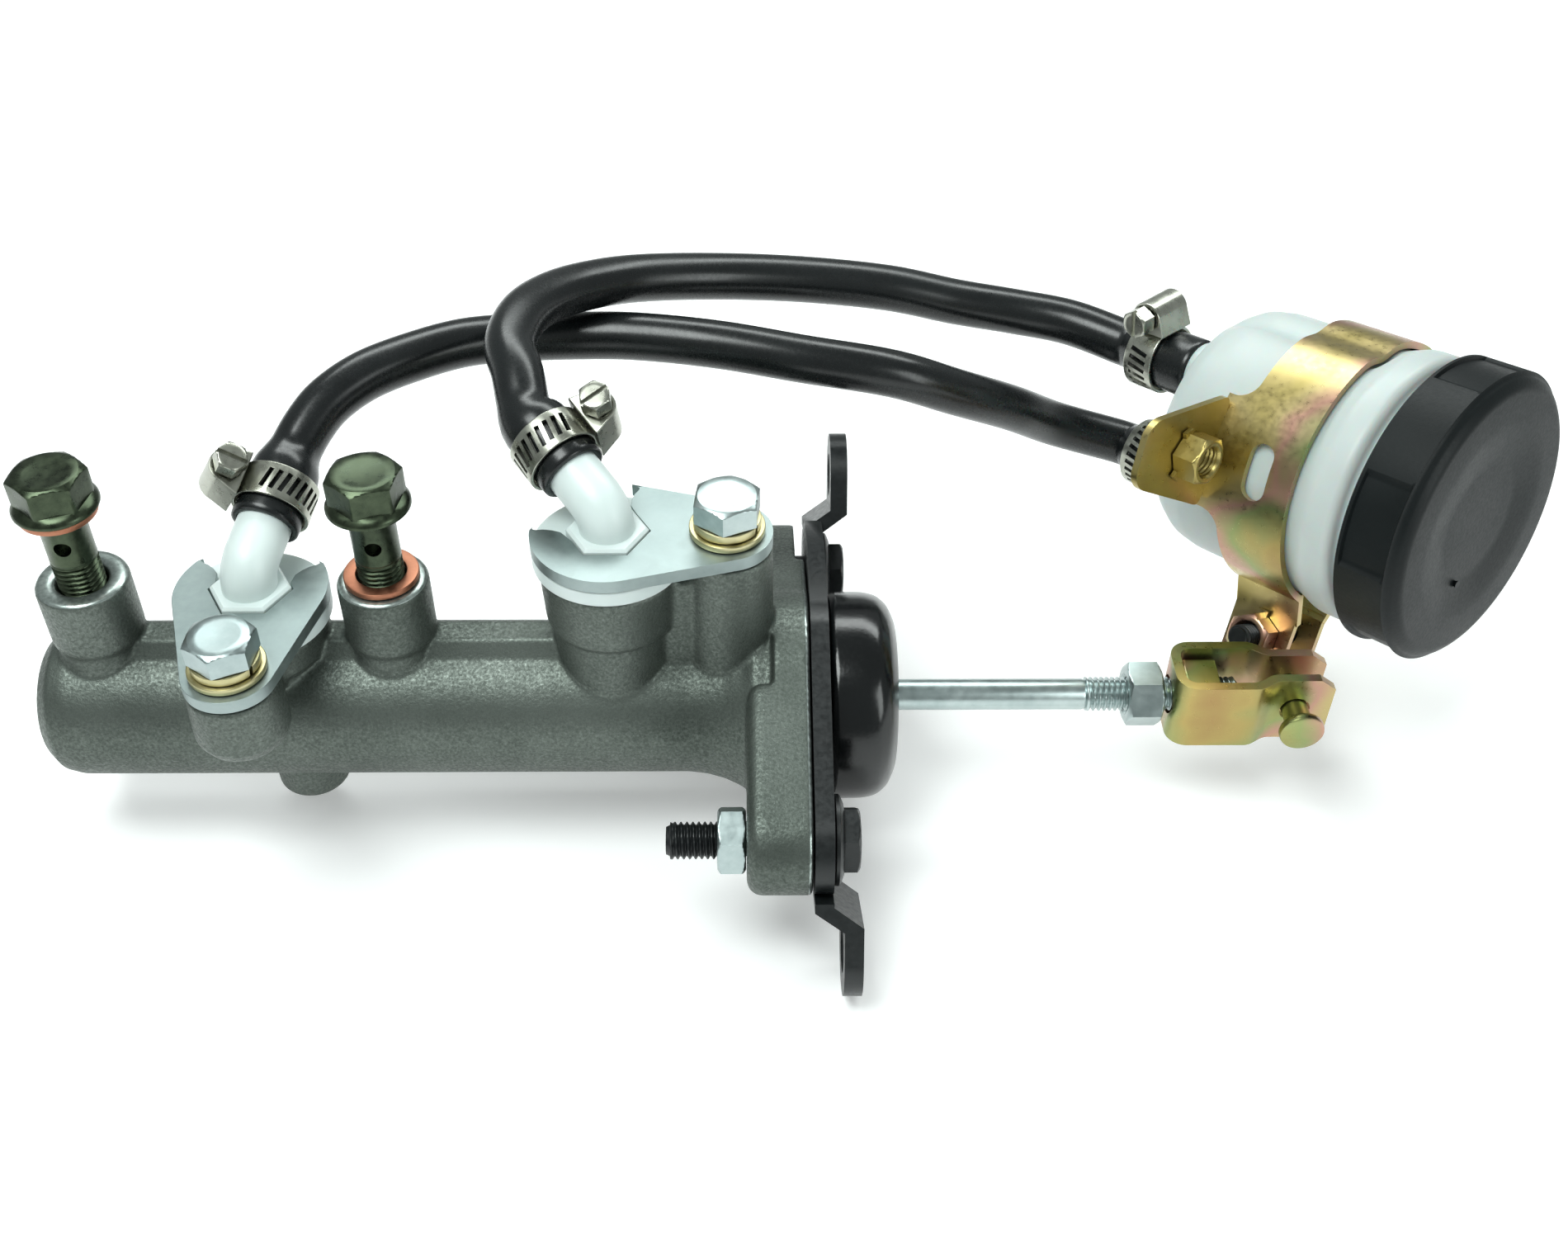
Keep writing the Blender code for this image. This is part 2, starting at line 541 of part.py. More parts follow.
# --- pistons, springs and pushrod --------------------------------------------------------
def piston_groups():
    """Two pistons in line; each has cups on its lands and a spring in front of it."""
    waist = 6.2
    turned("primary_piston", [
        (0.0, -29.5), (3.0, -28.0), (3.0, -12.6), (PISTON_R, -12.6), (PISTON_R, -17.0), (7.0, -17.0),
        (7.0, -21.0), (PISTON_R, -21.0), (PISTON_R, -27.0), (waist, -27.0), (waist, -54.0),
        (PISTON_R, -54.0), (PISTON_R, -56.0), (5.0, -56.0), (5.0, -62.0), (0.0, -62.0)],
        SPRING_STEEL, direction=X_AXIS)
    turned("secondary_piston", [
        (0.0, -104.5), (5.0, -104.5), (5.0, -110.0), (PISTON_R, -110.0), (PISTON_R, -113.0),
        (waist, -113.0), (waist, -131.0), (PISTON_R, -131.0), (PISTON_R, -133.0), (5.0, -133.0),
        (5.0, -139.0), (0.0, -139.0)], SPRING_STEEL, direction=X_AXIS)
    cup("primary_rear_seal", -17.0 - GAP, -21.0 + GAP, 7.0 + GAP)
    cup("primary_cup", -56.0 - GAP, -60.0, 5.0 + GAP)
    cup("secondary_rear_cup", -105.6, -110.0 + GAP, 5.0 + GAP)
    cup("secondary_front_cup", -133.0 - GAP, -137.0, 5.0 + GAP)
    ring("primary_spring_seat", 8.4, 5.0 + GAP, -60.0 - GAP, -61.3)
    ring("secondary_spring_seat", 8.4, 5.0 + GAP, -137.0 - GAP, -138.3)
    coil("primary_spring", -61.3 - GAP, -103.6, 4.5)
    coil("secondary_spring", -138.3 - GAP, -171.2, 3.5)


def ring(name, outer, inner, right, left, finish=SPRING_STEEL):
    return turned(name, [(outer, right), (outer, left), (inner, left), (inner, right)], finish,
                  direction=X_AXIS, closed=True)


def cup(name, right, left, inner):
    return ring(name, PISTON_R, inner, right, left, RUBBER)


def coil(name, right, left, turns):
    """Compression spring along the bore."""
    wire, radius, per_turn = 0.8, 7.0, 9
    length = right - left - 2 * wire
    points = []
    for i in range(int(turns * per_turn) + 1):
        angle = math.tau * i / per_turn
        x = right - wire - length * i / (turns * per_turn)
        points.append((x, radius * math.cos(angle), radius * math.sin(angle)))
    return tube(name, points, [wire] * len(points), SPRING_STEEL, resolution=1)


def retainers():
    ring("stop_washer", PISTON_R, 4.6, -5.2 - GAP - 0.4, -7.4)
    clip = ring("circlip", BORE_R + 0.6, 7.4, -3.4 - GAP, -5.2 + GAP)
    cut(clip, box("circlip_gap", (4.0, 8.0, 8.0), (-4.3, 0, -9.0)))
    boot = turned("dust_boot", [
        (ROD_THREAD_R + GAP, 9.4), (12.0, 9.6), (17.5, 9.0), (21.5, 6.6), (23.4, 2.6),
        (23.5, -2.2), (21.8, -5.8), (15.2, -6.0), (SPIGOT_R + GAP, -5.0), (SPIGOT_R + GAP, -3.0),
        (19.6, -2.4), (21.0, 0.5), (20.4, 4.4), (16.0, 7.0), (10.0, 7.5), (ROD_THREAD_R + GAP, 7.4)],
        RUBBER, direction=X_AXIS, closed=True, segments=26)
    return boot


def pushrod_group():
    turned("pushrod", [
        (0.0, ROD_END_X), (ROD_THREAD_R - 0.8, ROD_END_X), (ROD_THREAD_R, ROD_END_X - 0.8),
        (ROD_THREAD_R, ROD_PLAIN_END_X + 1.0), (ROD_R, ROD_PLAIN_END_X), (ROD_R, -8.6), (4.2, -9.0), (4.2, -10.6), (2.6, -12.0),
        (2.6, ROD_BALL_X), (1.6, ROD_BALL_X - 1.6), (0.0, ROD_BALL_X - 2.0)], ZINC,
        direction=X_AXIS, segments=18)
    nut = cylinder("pushrod_locknut", 7.5, LOCKNUT_X[1] - LOCKNUT_X[0], ZINC,
                   origin=(LOCKNUT_X[0], 0, 0), direction=X_AXIS, segments=6, up=(0, 0.5, 0.866))
    cut(nut, cylinder("locknut_hole", ROD_THREAD_R + GAP, 20.0, origin=(58.0, 0, 0),
                      direction=X_AXIS, segments=18))
    clevis()


def clevis():
    """Folded U-yoke, wide round its nut plate and narrow at the pin."""
    jog_start, jog_end = 91.0, 95.0
    wide, narrow = YOKE_WIDE, YOKE_NARROW
    bend = (YOKE_LEFT + YOKE_BEND, -wide + YOKE_BEND)
    outer = arc(bend, YOKE_BEND, 180, 270, 5)
    outer += [(jog_start, -wide), (jog_end, -narrow), (YOKE_RIGHT, -narrow)]
    inner = [(YOKE_RIGHT, -narrow + YOKE_SHEET), (jog_end - 0.6, -narrow + YOKE_SHEET),
             (jog_start - 0.6, -wide + YOKE_SHEET)]
    inner += arc(bend, YOKE_BEND - YOKE_SHEET, 270, 180, 5)
    half = outer + inner
    mirrored = [(x, -y) for x, y in reversed(half)]
    yoke = outline("clevis_yoke", half + mirrored, 2 * YOKE_HALF_HEIGHT, YELLOW_ZINC,
                   origin=(0, 0, -YOKE_HALF_HEIGHT), up=Y_AXIS)
    cut(yoke, cylinder("yoke_rod_hole", ROD_THREAD_R + GAP, 12.0, origin=(66.0, 0, 0),
                       direction=X_AXIS, segments=18),
        cylinder("yoke_pin_hole", PIN_R + GAP, 30.0, origin=(PIN_X, 15.0, 0), direction=-Y_AXIS,
                 segments=18))
    for up_down in (-1, 1):
        cut(yoke, box("yoke_corner", (14.0, 30.0, 14.0), (YOKE_RIGHT + 3.2, 0, up_down * 12.6),
                      up=(0, 1, 0), direction=(up_down * 0.6, 0, 0.8)))
    plate = box("clevis_nut_plate", (7.6, 9.4, 13.0), (79.2, 0, 0), YELLOW_ZINC, up=Y_AXIS)
    cut(plate, cylinder("nut_plate_hole", ROD_THREAD_R + GAP, 20.0, origin=(66.0, 0, 0),
                        direction=X_AXIS, segments=18))


def clevis_pin():
    """Pin with a plain head, drawn part of the way out of the yoke."""
    pin = turned("clevis_pin", [
        (0.0, 0.0), (4.6, 0.0), (5.0, -0.4), (5.0, -2.0), (PIN_R, -2.0), (PIN_R, -22.0),
        (PIN_R - 0.6, -22.6), (0.0, -22.6)], YELLOW_ZINC, origin=(PIN_X, PIN_FACE_Y, 0),
        direction=-Y_AXIS, segments=18)
    cut(pin, cylinder("split_pin_hole", 0.9, 12.0, origin=(PIN_X - 6.0, PIN_FACE_Y + 20.0, 0),
                      direction=X_AXIS, segments=12))


# --- reservoir --------------------------------------------------------------------------
RESERVOIR_ROTATION = axis_rotation(RESERVOIR_AXIS)


def in_reservoir(x, y, z):
    """World place, in millimetres, of a point given from the middle of the cap's face."""
    return CAP_FACE + RESERVOIR_ROTATION.to_3x3() @ Vector((x, y, z))


RES_X = RESERVOIR_ROTATION.to_3x3() @ Vector((1.0, 0.0, 0.0))
RES_Y = RESERVOIR_ROTATION.to_3x3() @ Vector((0.0, 1.0, 0.0))
BASE_Z = -CAP_HEIGHT + 2.0 - RESERVOIR_LENGTH


def reservoir_piece(name, profile, finish=None, closed=False, segments=30):
    return turned(name, profile, finish, origin=CAP_FACE, direction=RESERVOIR_AXIS,
                  closed=closed, segments=segments)


def reservoir():
    radius = RESERVOIR_R
    body = reservoir_piece("reservoir_body", [
        (0.0, BASE_Z + 2.4), (radius - 9.5, BASE_Z + 2.4), (radius - 4.6, BASE_Z + 4.6),
        (radius - 2.4, BASE_Z + 10.0), (radius - 2.4, -28.0), (26.9, -16.0), (26.9, -5.0),
        (29.3, -5.0), (29.3, -15.6), (31.7, -17.6), (32.1, -25.0), (30.7, -27.6),
        (radius, -29.0), (radius, BASE_Z + 9.0), (radius - 2.6, BASE_Z + 2.6),
        (radius - 9.0, BASE_Z), (0.0, BASE_Z)], NYLON)
    for name, (x, y) in NIPPLES.items():
        start = in_reservoir(x, y, BASE_Z + 1.2)
        add(body, cylinder(name + "_nipple", 4.6, NIPPLE_LENGTH + 1.2, origin=start,
                           direction=-RESERVOIR_AXIS, segments=18))
    for name, (x, y) in NIPPLES.items():
        cut(body, cylinder(name + "_nipple_bore", 2.6, 30.0, direction=-RESERVOIR_AXIS,
                           origin=in_reservoir(x, y, BASE_Z + 10.0), segments=14))
    reservoir_piece("reservoir_cap", [
        (0.0, 0.0), (26.0, 0.0), (32.6, -1.0), (CAP_R, -3.2), (CAP_R, -CAP_HEIGHT + 2.0),
        (32.3, -CAP_HEIGHT + 2.0), (30.1, -CAP_HEIGHT + 2.4), (30.1, -2.6), (0.0, -2.6)],
        BLACK_PLASTIC)
    reservoir_piece("diaphragm_plate", [(28.3, -2.9), (28.3, -3.7), (4.0, -3.7), (4.0, -2.9)],
                    BLACK_PLASTIC, closed=True)
    reservoir_piece("cap_diaphragm", [
        (0.0, -10.8), (24.7, -10.8), (24.7, -4.0), (29.1, -4.0), (29.1, -4.7), (25.9, -4.7),
        (25.9, -12.0), (0.0, -12.0)], RUBBER)


def bracket():
    """Sheet band round the reservoir with two legs below it and a side tab."""
    inner, outer = BAND_R, BAND_R + BAND_THICK
    low, high = BAND_Z
    middle = 0.5 * (low + high)
    first, last = LEG_ANGLE + LEG_OPEN - 360.0, LEG_ANGLE - LEG_OPEN
    points = arc((0, 0), outer, first, last, 38) + arc((0, 0), inner, last, first, 38)
    band = outline("reservoir_bracket", points, high - TAB_LOW_Z, YELLOW_ZINC,
                   origin=in_reservoir(0, 0, TAB_LOW_Z), direction=RESERVOIR_AXIS)
    # below its straight edge only the tab's root stays
    for start, stop in ((first - 20.0, TAB_ANGLE - 24.0), (TAB_ANGLE + 24.0, last + 20.0)):
        sector = arc((0, 0), outer + 6.0, start, stop, 20) + arc((0, 0), inner - 6.0, stop, start, 20)
        cut(band, outline("band_edge_cutter", sector, low - TAB_LOW_Z + 5.0,
                          origin=in_reservoir(0, 0, TAB_LOW_Z - 5.0), direction=RESERVOIR_AXIS))
    down = leg_direction()
    across = RESERVOIR_AXIS.cross(down)
    centre = in_reservoir(0, 0, middle)
    for side in (-1, 1):
        angle = math.radians(side * LEG_OPEN)
        foot = 0.5 * (inner + outer) * (math.cos(angle) * down + math.sin(angle) * across)
        bend = FOOT_BEND_R * down + side * FOOT_OFFSET * across
        add(band, box("bracket_leg", (BAND_THICK, (bend - foot).length + 2.2, high - low - 1.0),
                      centre + 0.5 * (foot + bend), direction=RESERVOIR_AXIS,
                      up=(bend - foot).normalized()),
            box("bracket_foot", (BAND_THICK, FOOT_END_R - FOOT_BEND_R + 0.8, high - low - 1.6),
                centre + 0.5 * (FOOT_BEND_R + FOOT_END_R - 0.8) * down + side * FOOT_OFFSET * across,
                direction=RESERVOIR_AXIS, up=down))
    tab = outline("bracket_tab", [(-13.2, 31.0), (13.2, 31.0), (7.8, 56.5), (5.2, 59.0),
                                  (-5.2, 59.0), (-7.8, 56.5)], BAND_THICK,
                  origin=in_reservoir(0, 0, TAB_LOW_Z), direction=RESERVOIR_AXIS, up=tab_outward())
    add(band, tab)
    screw = screw_place()
    cut(band, cylinder("tab_hole", 3.0, 12.0, origin=tab_nut_place(TAB_LOW_Z - 5.0), segments=14,
                       direction=RESERVOIR_AXIS),
        cylinder("foot_hole", 3.4, 40.0, origin=screw - 20.0 * across, segments=14,
                 direction=across),
        slot_cutter())
    weld_nut("weld_nut_tab", tab_nut_place(TAB_LOW_Z + BAND_THICK + GAP), RESERVOIR_AXIS, 6.0)
    weld_nut("weld_nut_foot", screw - (FOOT_OFFSET + 0.5 * BAND_THICK + GAP) * across, -across, 5.0)
    head = FOOT_OFFSET + 0.5 * BAND_THICK + GAP
    turned("bracket_screw", [
        (0.0, head + 5.2), (4.4, head + 5.2), (4.9, head + 4.7), (4.9, head), (2.9, head),
        (2.9, -15.6), (0.0, -16.2)],
        BLACK_STEEL, origin=screw, direction=across, segments=18)


def leg_direction():
    angle = math.radians(LEG_ANGLE)
    return RESERVOIR_ROTATION.to_3x3() @ Vector((math.cos(angle), math.sin(angle), 0.0))


def screw_place():
    return in_reservoir(0, 0, 0.5 * (BAND_Z[0] + BAND_Z[1])) + leg_direction() * FOOT_SCREW_R


def tab_outward():
    angle = math.radians(TAB_ANGLE)
    return RESERVOIR_ROTATION.to_3x3() @ Vector((math.cos(angle), math.sin(angle), 0.0))


def tab_nut_place(z):
    return in_reservoir(0, 0, z) + tab_outward() * TAB_HOLE_R


def slot_cutter():
    angle = math.radians(159.0)
    outward = RESERVOIR_ROTATION.to_3x3() @ Vector((math.cos(angle), math.sin(angle), 0.0))
    points = arc((0, 3.6), 3.0, 0, 180, 8) + arc((0, -3.6), 3.0, 180, 360, 8)
    return outline("band_slot", points, 10.0, origin=in_reservoir(0, 0, -38.5) + outward * 25.0,
                   direction=outward, up=outward.cross(RESERVOIR_AXIS))


def weld_nut(name, origin, direction, height):
    nut = cylinder(name, 5.8, height, YELLOW_ZINC, origin=origin, direction=direction, segments=6)
    cut(nut, cylinder(name + "_hole", 3.2, height + 4.0, origin=Vector(origin) - Vector(direction) * 2.0,
                      direction=direction, segments=14))


# --- hoses and clamps ---------------------------------------------------------------------
def hose_ends(name):
    """Start at the elbow's arm and end at the reservoir's nipple, each with its direction."""
    elbow = ELBOWS[name]
    arm = Vector(elbow["arm"]).normalized()
    start = Vector((elbow["x"], 0, elbow["rim"] + ARM_START)) + arm * (ARM_LENGTH + GAP)
    x, y = NIPPLES[name]
    end = in_reservoir(x, y, BASE_Z - NIPPLE_LENGTH - GAP)
    return start, arm, end, RESERVOIR_AXIS


def hose(name):
    start, arm, end, axis = hose_ends(name)
    straight = (0.0, 6.0, 12.0, 18.0)
    route = [start + arm * s for s in straight]
    route += [Vector(p) for p in ROUTES[name]]
    route += [end - axis * s for s in reversed(straight)]
    points = smooth_curve(route, 2)
    travelled = [0.0]
    for a, b in zip(points, points[1:]):
        travelled.append(travelled[-1] + (b - a).length)
    total = travelled[-1]
    radii = []
    for s in travelled:
        near = min(s, total - s)
        blend = min(max((near - HOSE_END_LENGTH) / 6.0, 0.0), 1.0)
        radii.append(HOSE_SWELL + (HOSE_R - HOSE_SWELL) * blend)
    tube("feed_hose_" + name, points, radii, RUBBER, resolution=2)


def hose_clamp(name, centre, direction, outward, screw_sign):
    """Worm-drive clamp: a slotted band, the housing on it, and the screw across."""
    inner, outer = HOSE_SWELL + GAP, HOSE_SWELL + GAP + 0.8
    direction = Vector(direction).normalized()
    outward = (Vector(outward) - Vector(outward).dot(direction) * direction).normalized()
    across = direction.cross(outward) * screw_sign
    clamp = turned("hose_clamp_" + name, [(outer, 4.0), (outer, -4.0), (inner, -4.0), (inner, 4.0)],
                   STAINLESS, origin=centre, direction=direction, closed=True, segments=18,
                   up=outward)
    axis_place = Vector(centre) + outward * (outer + 3.4)
    housing = box("clamp_housing", (11.0, 7.6, 8.4), axis_place - outward * 0.6,
                  direction=direction, up=outward)
    add(clamp, housing)
    cut(clamp, cylinder("clamp_inside", inner, 12.0, origin=Vector(centre) - direction * 6.0,
                        direction=direction, up=outward),
        cylinder("clamp_screw_hole", 2.7, 20.0, origin=axis_place - across * 10.0,
                 direction=across, segments=16))
    turned("clamp_screw_" + name, [
        (0.0, 10.0), (2.9, 10.0), (3.3, 9.5), (3.3, 6.1), (2.4, 5.9), (2.4, -6.6), (0.0, -7.0)],
        STAINLESS, origin=axis_place, direction=across, segments=14)


def hoses_and_clamps():
    for name in ELBOWS:
        hose(name)
    band_offset = 7.4
    start, arm, end, axis = hose_ends("secondary")
    hose_clamp("secondary_elbow", start + arm * band_offset, arm, (-0.85, 0.0, 0.5), 1)
    hose_clamp("secondary_reservoir", end - axis * band_offset, axis, RES_X, 1)
    start, arm, end, axis = hose_ends("primary")
    hose_clamp("primary_elbow", start + arm * band_offset, arm, (0.9, 0.3, 0.2), -1)
    hose_clamp("primary_reservoir", end - axis * band_offset, axis, RES_Y, 1)


cylinder_body()
mounting_plate()
flange_bolts()
banjo_bolts()
for elbow_name, elbow_data in ELBOWS.items():
    elbow_set(elbow_name, elbow_data)
piston_groups()
retainers()
pushrod_group()
clevis_pin()
reservoir()
bracket()
hoses_and_clamps()
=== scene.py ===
"""Looks for the tandem brake master cylinder: finer meshes, materials, light and camera.

Lengths below are in millimetres in the CAD's row frame; to_mesh() turns them into metres.
"""
import json
import math

import bmesh
import bpy
import numpy as np
from mathutils import Matrix, Vector


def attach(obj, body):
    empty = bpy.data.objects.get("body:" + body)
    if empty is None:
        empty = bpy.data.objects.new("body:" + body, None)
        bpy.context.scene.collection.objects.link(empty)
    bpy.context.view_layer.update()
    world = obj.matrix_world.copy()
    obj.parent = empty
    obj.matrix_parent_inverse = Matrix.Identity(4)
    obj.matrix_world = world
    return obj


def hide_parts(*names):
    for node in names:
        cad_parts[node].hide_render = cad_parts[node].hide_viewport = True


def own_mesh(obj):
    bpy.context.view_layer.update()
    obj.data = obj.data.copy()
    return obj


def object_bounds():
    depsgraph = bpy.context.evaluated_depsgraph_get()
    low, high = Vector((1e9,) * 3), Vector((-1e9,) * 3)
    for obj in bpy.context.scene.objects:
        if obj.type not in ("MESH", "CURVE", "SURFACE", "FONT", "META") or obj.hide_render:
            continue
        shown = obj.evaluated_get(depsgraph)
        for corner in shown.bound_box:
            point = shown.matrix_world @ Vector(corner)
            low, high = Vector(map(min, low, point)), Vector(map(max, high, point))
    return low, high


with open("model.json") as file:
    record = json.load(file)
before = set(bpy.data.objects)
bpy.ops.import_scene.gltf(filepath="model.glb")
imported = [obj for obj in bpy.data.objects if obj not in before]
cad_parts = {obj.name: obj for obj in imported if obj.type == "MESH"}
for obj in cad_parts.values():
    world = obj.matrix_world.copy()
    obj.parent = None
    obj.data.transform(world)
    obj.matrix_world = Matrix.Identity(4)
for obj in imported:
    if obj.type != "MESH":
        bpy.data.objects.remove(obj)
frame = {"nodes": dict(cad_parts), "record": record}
CAD_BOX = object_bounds()

MM = 0.001
TAU = math.tau
SEGMENTS = 72                  # round each fastener
ANGLES = np.arange(SEGMENTS) * TAU / SEGMENTS
PORT_TOP = 35.7
X_AXIS, Y_AXIS, Z_AXIS = np.eye(3)


# --- mesh helpers ---
def unit(vector):
    vector = np.asarray(vector, float)
    return vector / np.linalg.norm(vector)


def basis(direction, up=Z_AXIS):
    """Columns x, y, z: z along direction, y as near to up as it can be."""
    z = unit(direction)
    y = np.asarray(up, float) - np.dot(up, z) * z
    if np.linalg.norm(y) < 1e-6:
        y = Y_AXIS - z[1] * z
    y = unit(y)
    return np.column_stack([np.cross(y, z), y, z])


def placed(points, origin, direction, up=Z_AXIS):
    return np.asarray(origin, float) + np.asarray(points, float) @ basis(direction, up).T


def to_mesh(name, points, faces, finish=None, sharp=32.0):
    mesh = bpy.data.meshes.new(name)
    mesh.from_pydata((np.asarray(points) * MM).tolist(), [], faces)
    mesh.validate()
    piece = bpy.data.objects.new(name, mesh)
    bpy.context.scene.collection.objects.link(piece)
    shade(piece, sharp)
    if finish:
        mesh.materials.append(finish)
    return piece


def shade(piece, sharp=32.0):
    piece.data.shade_smooth()
    piece.data.set_sharp_from_angle(angle=math.radians(sharp))


def apply_modifiers(piece):
    graph = bpy.context.evaluated_depsgraph_get()
    mesh = bpy.data.meshes.new_from_object(piece.evaluated_get(graph))
    old = piece.data
    piece.modifiers.clear()
    piece.data = mesh
    bpy.data.meshes.remove(old)
    return piece


def drop(piece):
    bpy.data.objects.remove(piece, do_unlink=True)


def boolean(piece, others, operation):
    for other in others:
        step = piece.modifiers.new("step", "BOOLEAN")
        step.operation, step.solver, step.object = operation, "EXACT", other
    apply_modifiers(piece)
    for other in others:
        drop(other)
    return piece


def cut(piece, others):
    return boolean(piece, others, "DIFFERENCE")


def unite(piece, others):
    return boolean(piece, others, "UNION")


def bevel(piece, width, segments=2, angle=35.0):
    weld = piece.modifiers.new("weld", "WELD")
    weld.merge_threshold = 0.00002
    step = piece.modifiers.new("bevel", "BEVEL")
    step.width, step.segments, step.limit_method = width * MM, segments, "ANGLE"
    step.angle_limit = math.radians(angle)
    step.use_clamp_overlap = True
    apply_modifiers(piece)
    shade(piece, 40.0)
    piece.modifiers.new("normals", "WEIGHTED_NORMAL").keep_sharp = True
    return apply_modifiers(piece)


def soften(profile, radius, closed=False, steps=3):
    """Round the corners of a profile with short curves."""
    points = [np.array(p, float) for p in profile]
    count = len(points)
    result = []
    for i, corner in enumerate(points):
        if not closed and i in (0, count - 1):
            result.append(corner)
            continue
        before, after = points[i - 1], points[(i + 1) % count]
        reach = min(radius, 0.45 * np.linalg.norm(before - corner),
                    0.45 * np.linalg.norm(after - corner))
        if reach < 0.02:
            result.append(corner)
            continue
        a = corner + unit(before - corner) * reach
        b = corner + unit(after - corner) * reach
        for k in range(steps + 1):
            t = k / steps
            result.append((1 - t) ** 2 * a + 2 * t * (1 - t) * corner + t * t * b)
    return result


def rings(name, heights, radii, finish=None, origin=(0, 0, 0), direction=Z_AXIS, up=Z_AXIS,
          closed=False, sharp=32.0):
    """Surface through rings: radii[i][j] is the radius of ring i at angle j, top ring first."""
    radii = np.asarray(radii, float)
    rows, segments = radii.shape
    angle = np.arange(segments) * TAU / segments
    grid = np.stack([radii * np.cos(angle), radii * np.sin(angle),
                     np.repeat(np.asarray(heights, float)[:, None], segments, 1)], 2)
    points = grid.reshape(-1, 3).tolist()
    faces = []
    for i in range(rows if closed else rows - 1):
        k = (i + 1) % rows
        for j in range(segments):
            l = (j + 1) % segments
            faces.append((i * segments + j, k * segments + j, k * segments + l, i * segments + l))
    if not closed:
        for row, flip in ((0, False), (rows - 1, True)):
            hub = len(points)
            points.append([0.0, 0.0, float(heights[row])])
            for j in range(segments):
                a, b = row * segments + j, row * segments + (j + 1) % segments
                faces.append((hub, b, a) if flip else (hub, a, b))
    return to_mesh(name, placed(points, origin, direction, up), faces, finish, sharp)


def lathe(name, profile, finish=None, origin=(0, 0, 0), direction=Z_AXIS, up=Z_AXIS,
          closed=False, segments=72, rounding=0.0, sharp=32.0):
    """Turned piece from (radius, height) points that run down its outer side."""
    if rounding:
        profile = soften(profile, rounding, closed)
    if not closed:
        profile = [p for p in profile if p[0] > 1e-4]
    radii = np.repeat(np.array([p[0] for p in profile])[:, None], segments, 1)
    return rings(name, [p[1] for p in profile], radii, finish, origin, direction, up, closed, sharp)


def cylinder(name, radius, high, low, finish=None, **place):
    return lathe(name, [(radius, high), (radius, low)], finish, **place)


def extruded(name, points, low, high, finish=None, origin=(0, 0, 0), direction=Z_AXIS, up=Z_AXIS):
    """Solid between two heights over a flat outline of (x, y) points."""
    count = len(points)
    solid = [(x, y, low) for x, y in points] + [(x, y, high) for x, y in points]
    area = sum(points[i - 1][0] * points[i][1] - points[i][0] * points[i - 1][1]
               for i in range(count))
    faces = [tuple(range(count))[::-1], tuple(range(count, 2 * count))]
    faces += [(i, (i + 1) % count, count + (i + 1) % count, count + i) for i in range(count)]
    if area < 0:
        faces = [f[::-1] for f in faces]
    return to_mesh(name, placed(solid, origin, direction, up), faces, finish)


def block(name, size, finish=None, origin=(0, 0, 0), direction=Z_AXIS, up=Z_AXIS):
    x, y, z = (0.5 * s for s in size)
    return extruded(name, [(-x, -y), (x, -y), (x, y), (-x, y)], -z, z,
                    finish, origin, direction, up)


def arc(centre, radius, start, stop, steps):
    angles = np.radians(np.linspace(start, stop, steps + 1))
    return [(centre[0] + radius * math.cos(a), centre[1] + radius * math.sin(a)) for a in angles]


def joined(name, pieces, finish=None):
    """One object out of several."""
    shape = bmesh.new()
    for piece in pieces:
        shape.from_mesh(piece.data)
    mesh = bpy.data.meshes.new(name)
    shape.to_mesh(mesh)
    shape.free()
    for piece in pieces:
        drop(piece)
    made = bpy.data.objects.new(name, mesh)
    bpy.context.scene.collection.objects.link(made)
    if finish:
        mesh.materials.append(finish)
    shade(made)
    return made


def keep(piece, node, finish=None, body="housing"):
    """The finished piece rides on a CAD body and stands for one CAD node."""
    if finish:
        piece.data.materials.clear()
        piece.data.materials.append(finish)
    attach(piece, body)
    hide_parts(node)


# --- fasteners ---
def ring_rows(*sizes):
    """Round rings from (radius, height) pairs."""
    return [(height, np.full(SEGMENTS, float(radius))) for radius, height in sizes]


def hex_radius(flats):
    return 0.5 * flats / np.cos((ANGLES + TAU / 12) % (TAU / 6) - TAU / 12)


def hex_rows(flats, high, low, crown=0.0, both=False):
    """Rings of a hexagon whose corners are chamfered at the top, or at both ends."""
    flat = hex_radius(flats)
    start = 0.5 * flats * 0.93
    rows = ring_rows((0.3, high + crown), (start * 0.7, high + crown * 0.5), (start, high))
    for step in np.linspace(0.05, 1.0, 7):
        rows.append((high - 1.15 * step, np.minimum(flat, start + 2.2 * step)))
    if both:
        for step in np.linspace(1.0, 0.05, 7):
            rows.append((low + 1.15 * step, np.minimum(flat, start + 2.2 * step)))
        rows += ring_rows((start, low))
    else:
        rows.append((low, flat))
    return rows


def thread_rows(radius, high, low, pitch, depth=None):
    depth = 0.55 * pitch if depth is None else depth
    rows = []
    for z in np.arange(high, low, -pitch / 8):
        phase = (z / pitch - ANGLES / TAU) % 1.0
        ridge = np.clip(1.25 - np.abs(phase - 0.5) * 3.0, 0.0, 1.0)
        fade = min(1.0, (high - z) / pitch, (z - low) / pitch + 0.1)
        rows.append((z, radius - depth * (1.0 - ridge) * max(fade, 0.0)))
    return rows + ring_rows((radius - depth, low))


def from_rows(name, rows, finish, origin, direction=Z_AXIS, up=Z_AXIS, closed=False, sharp=38.0):
    return rings(name, [r[0] for r in rows], [r[1] for r in rows], finish, origin, direction, up,
                 closed, sharp)


